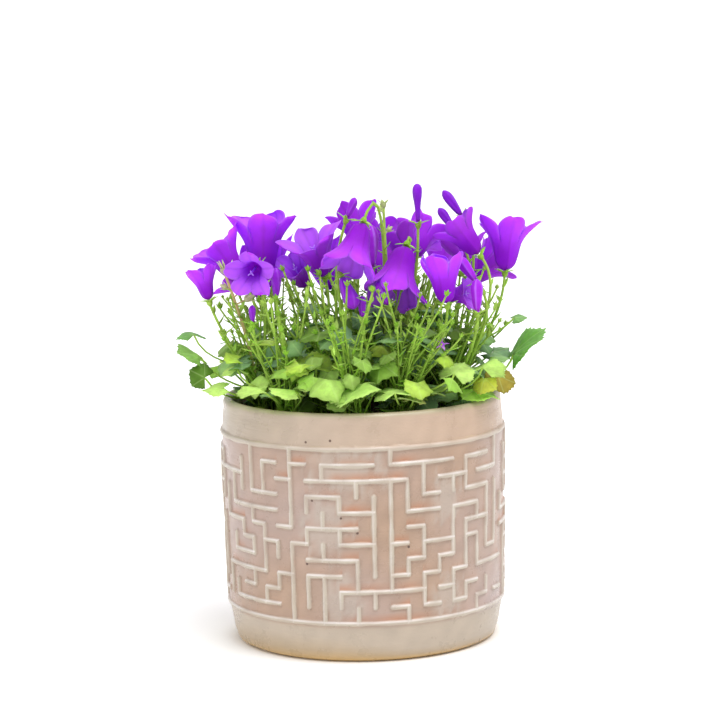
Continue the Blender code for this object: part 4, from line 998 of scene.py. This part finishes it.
def add_bud(pile, bud, draw):
    """A closed bud, pleated and a little twisted, on the outline of its solid."""
    twist = draw.uniform(-0.7, 0.7)
    places, ribs = [], []
    for share, width in zip(BUD_SHARES, CLUB_WIDTHS if bud["name"] == "club" else BUD_WIDTHS):
        for i in range(BUD_SIDES):
            turn = math.tau * i / BUD_SIDES
            crest = math.cos(LOBES * (turn - twist * share))
            pleat = 1 + BUD_PLEAT * crest * math.sin(math.pi * min(1.0, 0.15 + share))
            places.append(around(turn, bud["radius"] * width * pleat, share * bud["length"]))
            ribs.append(max(0.0, crest) ** 3)
    points = bud["seat"] + np.array([*places, (0.0, 0.0, bud["length"])]) @ bud["frame"].T
    ribs = np.array([*ribs, 0.0])
    pale = PALE_RIBS.get(bud["name"], PLAIN_RIBS)
    tints = mix(mix(BUD_DARK, PETAL, 0.15 if pale < 0.3 else 0.35), BUD_RIB, ribs[:, None] * pale)
    if bud["name"] in SATIN_BUDS:
        tints = mix(tints, BUD_SATIN, 0.8)
    *faces, end = tube_faces(len(BUD_SHARES), BUD_SIDES)
    faces += [(a, b, len(ribs) - 1) for a, b in zip(end, end[1:] + end[:1])]
    pile.add(points, faces, tints, np.stack((ribs * 0, ribs, ribs * 0 + 1), axis=1))


# The pot's fine relief: places of its grid within a column or a row, half a wall's width, and a distance
# that stands for no wall near
FINE_OFFSETS = np.array((-0.34, -0.23, -0.165, -0.115, -0.06, 0.0, 0.06, 0.115, 0.165, 0.23, 0.34))
BAR_HALF = 1.28
FAR = 9.0
# Heights of the plain rows below and above the fret, and the lip and the inside: radii and heights
PLAIN_ROWS_BELOW = (0.0, 0.5, 1.5, 3.2, 5.8, 9.0, 12.0, 14.5, 16.4, 17.6, 18.2)
PLAIN_ROWS_ABOVE = (102.3, 103.4, 105.0, 107.5, 110.0, 112.0, 113.5, 115.0, 116.2, 116.9)
RIM_HEIGHTS, RIM_INWARD = (112.0, 115.0, 116.2, 116.9), (0.0, 0.0, 0.5, 1.3)
INSIDE = ((RIM_RADIUS - 2.4, POT_HEIGHT), (RIM_RADIUS - 3.5, 116.8), (61.6, 115.2), (61.6, 104.0),
          (54.7, 6.0))
# Pools of glaze between the walls, and where it gathers orange above them: column, row, width, height
POOLS = ((-0.5, 1.2, 2.1, 1.7), (-1.8, 4.8, 1.5, 2.0), (-0.9, 9.4, 1.4, 1.6), (5.5, 3.4, 1.1, 1.6),
         (5.6, 9.6, 1.1, 1.4))
POOL_FILL = 0.62
GATHERS = ((1.3, 4.6, 3.6, 5.2), (-3.9, 1.0, 1.0, 1.2), (2.5, 10.4, 3.0, 0.9), (-9.5, 6.0, 2.5, 3.0),
           (12.0, 5.0, 3.5, 4.0), (22.0, 7.0, 3.0, 3.0), (-19.0, 3.0, 3.0, 3.0))
# Where the painted highlight on a wall lies, above a level one and to the left of an upright one, and its
# width
HIGHLIGHT_ABOVE, HIGHLIGHT_LEFT, HIGHLIGHT_WIDTH = 0.66, 0.45, 0.36
# Dark pinholes in the glaze: angle in degrees from the front, and height
PINHOLES = ((-23, 104), (-13, 105), (-3, 62), (-21, 62), (-21, 77), (-9.5, 69), (-24, 47), (17.5, 54.5),
            (74, 66), (112, 40), (158, 83), (-96, 58), (-140, 104), (-171, 35))
PINHOLE_RADIUS = 0.5
NOISE_WAVES, NOISE_PEAK = 9, 3.4


def fine_places(first, last):
    """Grid places over whole columns or rows, close together at the walls of the fret."""
    return np.concatenate([middle + FINE_OFFSETS for middle in range(first, last)])


def bar_offsets(columns, rows):
    """How far each grid place is from the fret, above a level wall, and to the right of an upright one."""
    pitch = math.tau * BELLY_RADIUS / COLUMNS
    rise = (BAND_TOP - BAND_BOTTOM) / ROWS
    level_walls, column_walls = fret_walls()
    level_walls += [(0, -1, COLUMNS + 1), (ROWS, -1, COLUMNS + 1)]
    nearest, above, right = (np.full(columns.shape, FAR) for _ in range(3))
    for turn in (-COLUMNS, 0, COLUMNS):
        for level, start, end in level_walls:
            aside, up = (columns - np.clip(columns, start + turn, end + turn)) * pitch, (level - rows) * rise
            nearest = np.minimum(nearest, np.hypot(aside, up))
            above = np.where((np.abs(aside) < 0.5 * BAR_HALF) & (np.abs(up) < np.abs(above)), up, above)
        for column, start, end in column_walls:
            aside, up = (columns - column - turn) * pitch, (rows - np.clip(rows, start, end)) * rise
            nearest = np.minimum(nearest, np.hypot(aside, up))
            right = np.where((np.abs(up) < 0.5 * BAR_HALF) & (np.abs(aside) < np.abs(right)), aside, right)
    return nearest, above, right


def patches(places, column_grid, level_grid, edge):
    """1 within the patches round the pot and 0 outside them."""
    level = np.zeros(column_grid.shape)
    for column, row, wide, tall in places:
        away = ((column_grid + COLUMNS / 2) % COLUMNS - COLUMNS / 2 - column) / wide
        level = np.maximum(level, 1 - smooth(np.hypot(away, (level_grid - row) / tall) + edge, 0.5, 1.2))
    return level


def slow_noise(angles, heights, seed):
    """A smooth, seeded unevenness round the pot, mostly between -1 and 1."""
    draw = random.Random(seed)
    total = np.zeros(np.broadcast(angles, heights).shape)
    for _ in range(NOISE_WAVES):
        waves, tall = draw.choice((1, 2, 3, 4, 5, 7)), draw.uniform(-0.12, 0.12)
        total += np.sin(waves * angles + tall * heights + draw.uniform(0, 6.28)) / NOISE_PEAK
    return total


def rimmed_wall(height):
    """The wall with its softly rounded rim."""
    if height < RIM_HEIGHTS[0]:
        return wall_radius(height)
    return RIM_RADIUS - float(np.interp(height, RIM_HEIGHTS, RIM_INWARD))


def pot_points(angles, heights, radii):
    """Points round the pot, with angle 0 at its front."""
    return np.stack((radii * np.sin(angles), -radii * np.cos(angles), heights), axis=-1)


def pot_tints(angles, heights, *levels):
    """Pink and peach glaze, with a painted highlight along the walls' upper edges and left sides, painted
    shade below them and to their right, and orange where the glaze gathers.
    """
    drift = slow_noise(angles, heights, 21)[..., None]
    mottle = slow_noise(6 * angles, 5 * heights, 23)[..., None]
    raised, pool, gathered, crest, under, aside, heights = (
        level[..., None] for level in (*levels, np.sin(angles), heights))
    plain = 1 + 0.04 * drift + 0.03 * mottle
    rim_tint = mix(RIM_PINK, BAR_CREAM, 0.12) * (plain + aside * (0.045, -0.04, -0.09))
    # The tan band is the foot's own colour. It reaches higher on the left as painted shade on that side
    tan_top = np.maximum(10.0 + 3.0 * drift - 5.0 * aside, 5.0)
    tints = mix(GROOVE_PINK, GROOVE_PEACH, 0.5 + 0.5 * drift) * (1 + 0.05 * mottle)
    for colour, share in (
        (POOL_WHITE, 0.6 * pool),
        (GATHER_ORANGE, gathered * (0.75 + 0.25 * mottle)),
        # Painted shade below the walls and to the right of the upright ones
        (PAINTED_SHADE_BROWN, under * (0.45 + 0.2 * mottle)),
        (BAR_CREAM, smooth(raised, 0.15, 0.8) * (0.85 + 0.15 * mottle)),
        # A painted highlight along the walls' upper edges and left sides
        (PAINTED_HIGHLIGHT, crest * (0.7 + 0.3 * mottle)),
        (rim_tint, smooth(heights, 100.0, 103.0)),
        (mix(BAR_CREAM, GROOVE_PEACH, 0.3) * plain, 1 - smooth(heights, 16.0, 19.0)),
        (FOOT_TAN, 0.85 * (1 - smooth(heights, 1.2, tan_top))),
        (FOOT_ORANGE, 0.7 * (1 - smooth(heights, 0.6, 4.2 + drift))),
        (RIM_EDGE, 0.75 * smooth(heights, 114.6, 116.4)),
    ):
        tints = mix(tints, colour, share)
    return tints


def add_pot(pile):
    """The pot as one closed surface from its foot's centre, up the fret to the rim and down inside."""
    places = fine_places(0, COLUMNS)
    rise = (BAND_TOP - BAND_BOTTOM) / ROWS
    band_levels = fine_places(0, ROWS + 1)[::-1]
    band_heights = BAND_TOP - rise * band_levels[band_levels < ROWS + 0.2]
    heights = np.unique(np.round(np.concatenate((PLAIN_ROWS_BELOW, band_heights, PLAIN_ROWS_ABOVE)), 3))
    columns, levels = np.meshgrid(places, (BAND_TOP - heights) / rise)
    angles, grid_heights = np.meshgrid(FIRST_COLUMN_ANGLE + math.tau * places / COLUMNS, heights)
    distance, above, right = bar_offsets(columns, levels)
    band = smooth(levels, -0.3, -0.15) * (1 - smooth(levels, ROWS + 0.15, ROWS + 0.3))
    half = BAR_HALF * (1 + 0.16 * slow_noise(6 * angles, 5 * grid_heights, 31))
    raised = np.clip(1 - (distance / half) ** 2.4, 0.0, 1.0) ** 0.7 * band
    pool = patches(POOLS, columns, levels, 0.3 * slow_noise(17 * angles, 9 * grid_heights, 3)) * band
    lifted = np.maximum(raised, raised * 0.35 + POOL_FILL * pool * (1 - 0.3 * (distance > 2.6)))
    walls = np.array([rimmed_wall(height) for height in heights])
    uneven = 0.14 * slow_noise(angles, grid_heights, 5) + 0.05 * np.sin(9 * angles + 0.9 * grid_heights)
    radii = walls[:, None] + BAR_PROUD * lifted + uneven * smooth(grid_heights, 0.0, 6.0)
    radii += 0.12 * raised * slow_noise(3 * angles, 4 * grid_heights, 8)
    soft_edge = 0.3 * slow_noise(3 * angles, 2 * grid_heights, 12)
    gathered = (0.1 + 0.7 * patches(GATHERS, columns, levels, soft_edge)) * bump(above, 0.95, 1.3, 5.0) * band
    # crest is a painted highlight: a bright line on the upper part of each level wall and on the left side of
    # each upright one
    crest = np.maximum(ridge(above - HIGHLIGHT_ABOVE, HIGHLIGHT_WIDTH) * band,
                       0.45 * ridge(right + HIGHLIGHT_LEFT, HIGHLIGHT_WIDTH) * raised)
    # under is painted shade: a brown line just below each level wall and to the right of each upright one
    under = np.maximum(bump(-above, 0.9, 1.2, 2.6), 0.9 * bump(right, 0.9, 1.2, 2.4)) * (1 - raised) * band
    tints = pot_tints(angles, grid_heights, raised, pool, gathered, crest, under)
    inner = np.array([pot_points(angles[0], np.full(len(places), z), r) for r, z in INSIDE])
    points = np.concatenate((pot_points(angles, grid_heights, radii), inner))
    tints = np.concatenate((tints, np.broadcast_to(mix(RIM_EDGE, GROOVE_DEEP, 0.3), inner.shape)))
    rows, around_pot = points.shape[:2]
    count = rows * around_pot
    faces = grid_faces(rows, around_pot, closed=True)
    following = [(i + 1) % around_pot for i in range(around_pot)]
    faces += [(count, after, i) for i, after in enumerate(following)]
    inmost = count - around_pot
    faces += [(count + 1, inmost + i, inmost + after) for i, after in enumerate(following)]
    points = np.concatenate((points.reshape(-1, 3), [(0.0, 0.0, 0.0), (0.0, 0.0, INSIDE[-1][1])]))
    tints = np.concatenate((tints.reshape(-1, 3), np.tile(FOOT_TAN, (2, 1))))
    marks = np.zeros((count + 2, 3))
    marks[: raised.size, 0], marks[: raised.size, 1] = raised.ravel(), pool.ravel()
    pile.add(points, faces, tints, marks)


def add_soil(pile, draw):
    """Crumbly soil: a low uneven surface with a plain side and bottom."""
    rings, turns, edge = 70, 150, 60.9
    top, bottom = 105.0, 98.0
    points, tints = [], []
    for ring in range(rings):
        radius = edge * (ring + 0.2) / (rings - 0.8)
        for i in range(turns):
            lump = draw.uniform(-0.9, 0.9) * (1 - smooth(radius, edge - 1.5, edge))
            points.append(around(math.tau * (i + 0.5 * (ring % 2)) / turns, radius, top + lump))
            tints.append(mix(CRUMB_DARK, CRUMB_LIGHT, draw.random() ** 2.5))
    last = (rings - 1) * turns
    points += [(0.98 * x, 0.98 * y, bottom) for x, y, _ in points[last:]]
    faces = turned(grid_faces(rings, turns, closed=True))
    for i in range(turns):
        after = (i + 1) % turns
        faces.append((last + i, last + turns + i, last + turns + after, last + after))
    faces.append(tuple(reversed(range(last + turns, last + 2 * turns))))
    faces.append(tuple(range(turns)))
    pile.add(points, faces, np.concatenate((tints, np.tile(CRUMB_DARK, (turns, 1)))))


class Look:
    """A material and its nodes. An input that is given a socket is linked to it, and any other is set."""

    def __init__(self, name, roughness, specular):
        self.material = bpy.data.materials.new(name)
        self.material.use_nodes = True
        self.tree = self.material.node_tree
        self.shader = self.tree.nodes["Principled BSDF"]
        self.feed(self.shader, {"Roughness": roughness, "Specular IOR Level": specular})

    def feed(self, node, inputs):
        for key, value in inputs.items():
            if isinstance(value, bpy.types.NodeSocket):
                self.tree.links.new(value, node.inputs[key])
            else:
                node.inputs[key].default_value = value

    def node(self, kind, output, inputs, **settings):
        node = self.tree.nodes.new("ShaderNode" + kind)
        for key, value in settings.items():
            setattr(node, key, value)
        self.feed(node, inputs)
        return node.outputs[output]

    def math(self, operation, *values):
        return self.node("Math", "Value", dict(enumerate(values)), operation=operation)

    def spread(self, value, low, high, to_low=0.0, to_high=1.0):
        """The value with low to high spread over another range."""
        limits = {"From Min": low, "From Max": high, "To Min": to_low, "To Max": to_high}
        return self.node("MapRange", "Result", {"Value": value, **limits})

    def place(self):
        return self.node("TexCoord", "Object", {})

    def noise(self, scale, detail, place=None, **more):
        inputs = {"Vector": place or self.place(), "Scale": scale, "Detail": detail, **more}
        return self.node("TexNoise", "Fac", inputs)

    def blend(self, first, second, share):
        return self.node("Mix", 2, {6: first, 7: second, "Factor": share}, data_type="RGBA")

    def tinted(self, scale, low, high, detail=4.0):
        """The piece's own colour, lighter and darker by a fine noise, and that noise."""
        noise = self.noise(scale, detail, Roughness=0.6)
        tint = self.node("Attribute", "Color", {}, attribute_name="tint")
        level = self.spread(noise, 0.3, 0.7, low, high)
        return self.node("VectorMath", "Vector", {0: tint, "Scale": level}, operation="SCALE"), noise

    def finish(self, colour, height, strength, distance):
        """Gives the surface its colour and a fine bump, and returns the material."""
        bump_inputs = {"Strength": strength, "Distance": distance, "Height": height}
        self.feed(self.shader, {"Base Color": colour, "Normal": self.node("Bump", "Normal", bump_inputs)})
        return self.material

    def pass_light(self, colour, share):
        """Lets a share of the light through, as thin leaves and petals do."""
        behind = self.node("BsdfTranslucent", "BSDF", {"Color": colour})
        both = self.node("MixShader", "Shader", {"Fac": share, 1: self.shader.outputs["BSDF"], 2: behind})
        self.feed(self.tree.nodes["Material Output"], {"Surface": both})


def thin_look(name, roughness, sheen):
    look = Look(name, roughness, 0.2)
    look.feed(look.shader, {"Sheen Weight": sheen})
    return look


def leaf_look():
    """Leaf green with paler veins. The marks hold a whole number on each vein, and the share of reach."""
    look = thin_look("leaf_look", 0.5, 0.04)
    colour, noise = look.tinted(260.0, 0.84, 1.18)
    split = look.tree.nodes.new("ShaderNodeSeparateXYZ")
    look.feed(split, {"Vector": look.node("Attribute", "Vector", {}, attribute_name="mark")})
    tooth, reach, sheet = (split.outputs[axis] for axis in "XYZ")
    off = look.math("ABSOLUTE", look.math("SUBTRACT", tooth, look.math("ROUND", tooth)))
    vein = look.math("MULTIPLY", look.spread(look.math("MULTIPLY", off, reach), 0.055, 0.2 * 0.055), sheet)
    colour = look.blend(colour, (*mix(LEAF_PALE, WHITE, 0.2), 1.0), look.math("MULTIPLY", vein, 0.2))
    look.pass_light(colour, 0.3)
    return look.finish(colour, noise, 0.35, 0.0006)


def petal_look():
    look = thin_look("petal_look", 0.6, 0.05)
    colour, _ = look.tinted(150.0, 0.93, 1.07)
    look.pass_light(colour, 0.38)
    return look.finish(colour, look.noise(900.0, 2.0), 0.12, 0.0003)


def bud_look():
    look = thin_look("bud_look", 0.5, 0.05)
    colour, noise = look.tinted(300.0, 0.88, 1.1)
    return look.finish(colour, noise, 0.2, 0.0004)


def glaze_look():
    """A satin glaze with streaks from the wheel, fine ripples and a few pinholes."""
    look = Look("glaze_look", 0.34, 0.5)
    colour, noise = look.tinted(90.0, 0.955, 1.045, 6.0)
    place, nearest = look.place(), None
    for degrees, height in PINHOLES:
        hole = pot_points(math.radians(degrees), height, wall_radius(height)) * MM
        away = look.node("VectorMath", "Value", {0: place, 1: hole}, operation="DISTANCE")
        nearest = away if nearest is None else look.math("MINIMUM", nearest, away)
    clear = look.spread(nearest, PINHOLE_RADIUS * MM, 1.5 * PINHOLE_RADIUS * MM)
    streaks = look.node("Mapping", "Vector", {"Vector": place, "Scale": (1.0, 1.0, 7.0)})
    look.feed(look.shader, {"Roughness": look.spread(noise, 0.3, 0.7, 0.2, 0.45)})
    colour = look.blend((*PINHOLE_BROWN, 1.0), colour, clear)
    return look.finish(colour, look.noise(110.0, 4.0, streaks), 0.3, 0.0008)


def soil_look():
    look = Look("soil_look", 0.95, 0.2)
    colour, noise = look.tinted(400.0, 0.5, 1.5, 6.0)
    return look.finish(colour, noise, 0.8, 0.001)


# Leaves and stems beyond those of the solids, grown from the same roots
THICKET_SEED, THICKET_ROOT = 7, 104.5
LOW_LEAVES, HIGH_LEAVES = 90, 240
THICKET_TOP, THICKET_FALL, THICKET_REACH = 156, 20, 66
SLIM_STEMS, SLIM_REACH, SLIM_TRIES, SLIM_GAP = 210, 73, 8, 4.5
WALL_CLEAR, RIM_CLEAR = 6, 2
STAR_PLACE, STAR_REACH = (37.2, -50.0, 146.5), 3.6


def leaf_tint(leaf, draw):
    """The leaf's own colour over the rim, else pale near the rim, blue-green behind and dark inside."""
    x, y, z = leaf["joint"]
    outer = smooth(math.hypot(x, y), 34.0, 58.0) * (1 - 0.6 * smooth(z, 128.0, 146.0))
    inner = mix(LEAF_DARK, LEAF_MID, draw.random())
    light = mix(LEAF_FRESH, LEAF_PALE, draw.random())
    tint = mix(inner, light, outer * draw.uniform(0.55, 1.0))
    if draw.random() < 0.6 and y > -45:
        tint = mix(tint, LEAF_BLUE, draw.uniform(0.5, 1.0))
    elif draw.random() < 0.2:
        tint = mix(tint, LEAF_YELLOW, 0.5)
    return np.array(leaf.get("colour", tint)) * draw.uniform(0.92, 1.06)


def thicket_stalk(draw, root, joint):
    start = np.array((root[0] + draw.uniform(-4, 4), root[1] + draw.uniform(-4, 4), THICKET_ROOT))
    away = joint - start
    first = start + (draw.uniform(-3, 3), draw.uniform(-3, 3), 0.6 * away[2])
    return bezier(start, first, joint - away * (0.3, 0.3, 0.25), joint, SLIM_POINTS)


def crosses_wall(cloud):
    wide = np.hypot(cloud[:, 0], cloud[:, 1]) > RIM_RADIUS - WALL_CLEAR
    return (wide & (cloud[:, 2] < POT_HEIGHT + RIM_CLEAR)).any()


def add_thicket_leaf(piles, plant, draw, turn, far, height, lengths, rises, painted_shade_factor):
    """A small leaf on a stalk from the nearest root, left out where it would go through the pot's wall, its
    colour darkened by a factor as painted shade.
    """
    azimuth = math.degrees(turn) + draw.uniform(-55, 55)
    length, elevation, teeth = draw.uniform(*lengths), draw.uniform(*rises), draw.choice((4, 5))
    joint = around(turn, far, height)
    leaf = new_leaf(draw, joint, azimuth, elevation, draw.uniform(-25, 25), length, teeth,
                    cup=(-0.36, 0.05), fold=(-0.4, 0.1), wave=(0.05, 0.14))
    if crosses_wall(blade_cloud(leaf)):
        return
    owner = plant.nearest_root(joint)
    leaf["stalk"] = thicket_stalk(draw, plant.roots[owner], joint)
    tint = leaf_tint(leaf, draw) * painted_shade_factor
    add_leaf(piles[owner], leaf, tint, mix(STEM_MID, STEM_LIGHT, draw.random()), THICKET_RINGS)


def add_thicket(piles, plant):
    """More small leaves, low and high, slim stems with young green buds, and one tiny star."""
    draw = random.Random(THICKET_SEED)
    # Low leaves darkened to 0.55 and high ones to 0.95 as painted shade
    for i in range(LOW_LEAVES):
        far, turn = draw.uniform(40, 58), i * GOLDEN_ANGLE + draw.uniform(-0.4, 0.4)
        add_thicket_leaf(piles, plant, draw, turn, far, draw.uniform(113, 126), (6, 10), (-35, 25), 0.55)
    for i in range(HIGH_LEAVES):
        turn, far = spiral(draw, i, HIGH_LEAVES, THICKET_REACH, 0, 0.4)
        height = THICKET_TOP - THICKET_FALL * (far / LEAF_REACH) ** 2 + draw.uniform(-22, 8)
        add_thicket_leaf(piles, plant, draw, turn, far, height, (6, 11), (-48, 8), 0.95)
    for i in range(SLIM_STEMS):
        for _ in range(SLIM_TRIES):
            turn, far = spiral(draw, i, SLIM_STEMS, SLIM_REACH, 0, 0.3)
            tip = around(turn, far, draw.uniform(148, 182) - 0.12 * far)
            if plant.clear(None, tip + np.array([(0, 0, 0), (0, 0, 4), (0, 0, -8)]), SLIM_GAP):
                break
        else:
            continue
        owner = plant.nearest_root(tip)
        axis = direction(math.degrees(turn) + draw.uniform(-60, 60), draw.uniform(50, 88))
        path = thicket_stalk(draw, plant.roots[owner], tip)
        stem = new_stem(path, tip, axis, "green", frame_along(axis))
        add_stem(piles[owner], stem, draw, draw.uniform(0.45, 0.65), SLIM_SIDES)
    star, axis = np.array(STAR_PLACE), direction(-80, 25)
    owner = plant.nearest_root(star)
    path = thicket_stalk(draw, plant.roots[owner], star)
    add_tube(piles[owner], path, 0.45, stem_tints(path, "green", 0.8), SLIM_SIDES)
    add_calyx(piles[owner], star, frame_along(axis), axis, mix(PETAL, PETAL_LIGHT, 0.5), STAR_REACH, 75)


# The studio, in m: each lamp's name, kind, place, width (a sun's in radians) and power, and the camera
FLOOR_HALF = 30.0
WORLD_LIGHT = 0.79
LAMPS = (
    ("overhead", "SUN", (0.35, -0.4, 1.5), 0.8, 2.0),
    ("fill", "AREA", (-1.1, -0.9, 0.7), 1.0, 3.0),
    ("back", "AREA", (0.2, 1.2, 1.2), 0.8, 5.0),
)
LIT_PLACE = (0, 0, 0.12)
CAMERA_PLACE, CAMERA_DOWN, CAMERA_ROLL = (-0.0006, -1.412, 0.337), 8.24, -1.24
CAMERA_LENS, CAMERA_SENSOR = 149.75, 36.0


def build_studio():
    mesh = bpy.data.meshes.new("floor")
    corners = [(x * FLOOR_HALF, y * FLOOR_HALF, 0) for x, y in ((-1, -1), (1, -1), (1, 1), (-1, 1))]
    mesh.from_pydata(corners, [], [(0, 1, 2, 3)])
    look = Look("floor_look", 0.9, 0.1)
    look.feed(look.shader, {"Base Color": (0.97, 0.97, 0.97, 1.0)})
    mesh.materials.append(look.material)
    linked("floor", mesh)
    world = bpy.data.worlds.new("studio")
    world.use_nodes = True
    sky = world.node_tree.nodes["Background"].inputs
    sky["Color"].default_value, sky["Strength"].default_value = (1.0, 1.0, 1.0, 1.0), WORLD_LIGHT
    bpy.context.scene.world = world
    for name, kind, place, size, power in LAMPS:
        light = bpy.data.lights.new(name, kind)
        light.energy = power
        setattr(light, "angle" if kind == "SUN" else "size", size)
        lamp = linked(name, light)
        lamp.location = place
        lamp.rotation_euler = (Vector(LIT_PLACE) - Vector(place)).to_track_quat("-Z", "Y").to_euler()


def build_camera():
    camera = bpy.data.cameras.new("camera")
    camera.lens, camera.sensor_width = CAMERA_LENS, CAMERA_SENSOR
    eye = linked("camera", camera)
    tilt = Matrix.Rotation(math.radians(90 - CAMERA_DOWN), 4, "X")
    roll = Matrix.Rotation(math.radians(CAMERA_ROLL), 4, "Z")
    eye.matrix_world = Matrix.Translation(CAMERA_PLACE) @ tilt @ roll
    bpy.context.scene.camera = eye


def main():
    bpy.context.scene.view_settings.view_transform = "Standard"
    build_camera()
    build_studio()
    plant = Plant()
    draw = random.Random(SEED + 1)
    leaf, petal, bud_skin = leaf_look(), petal_look(), bud_look()
    pot, soil, piles = Pile(), Pile(), [Pile() for _ in plant.roots]
    add_pot(pot)
    pot.piece("glazed_pot", glaze_look(), "pot_glaze", "pot")
    add_soil(soil, draw)
    soil.piece("soil_surface", soil_look(), "potting_soil", "soil")
    for pile, leaves, stems in zip(piles, plant.leaves, plant.stems):
        for blade in leaves:
            tint = leaf_tint(blade, draw)
            add_leaf(pile, blade, tint, mix(STEM_LIGHT, STEM_MID, draw.random() * 0.6))
        for stem in stems:
            add_stem(pile, stem, draw)
    add_thicket(piles, plant)
    for number, pile in enumerate(piles, 1):
        pile.piece(f"leafy_shoot_{number:02d}", leaf, "leaf_green", f"shoot_{number:02d}")
    for bloom in plant.blooms:
        bloom["tone"] = draw.uniform(0.88, 1.06)
        pile = Pile()
        add_bell(pile, bloom)
        pile.piece("bell_" + bloom["name"], petal, "petal_violet", "bloom_" + bloom["name"])
    for bud in plant.buds:
        pile = Pile()
        add_bud(pile, bud, draw)
        pile.piece("closed_bud_" + bud["name"], bud_skin, "bud_violet", "bud_" + bud["name"])


main()
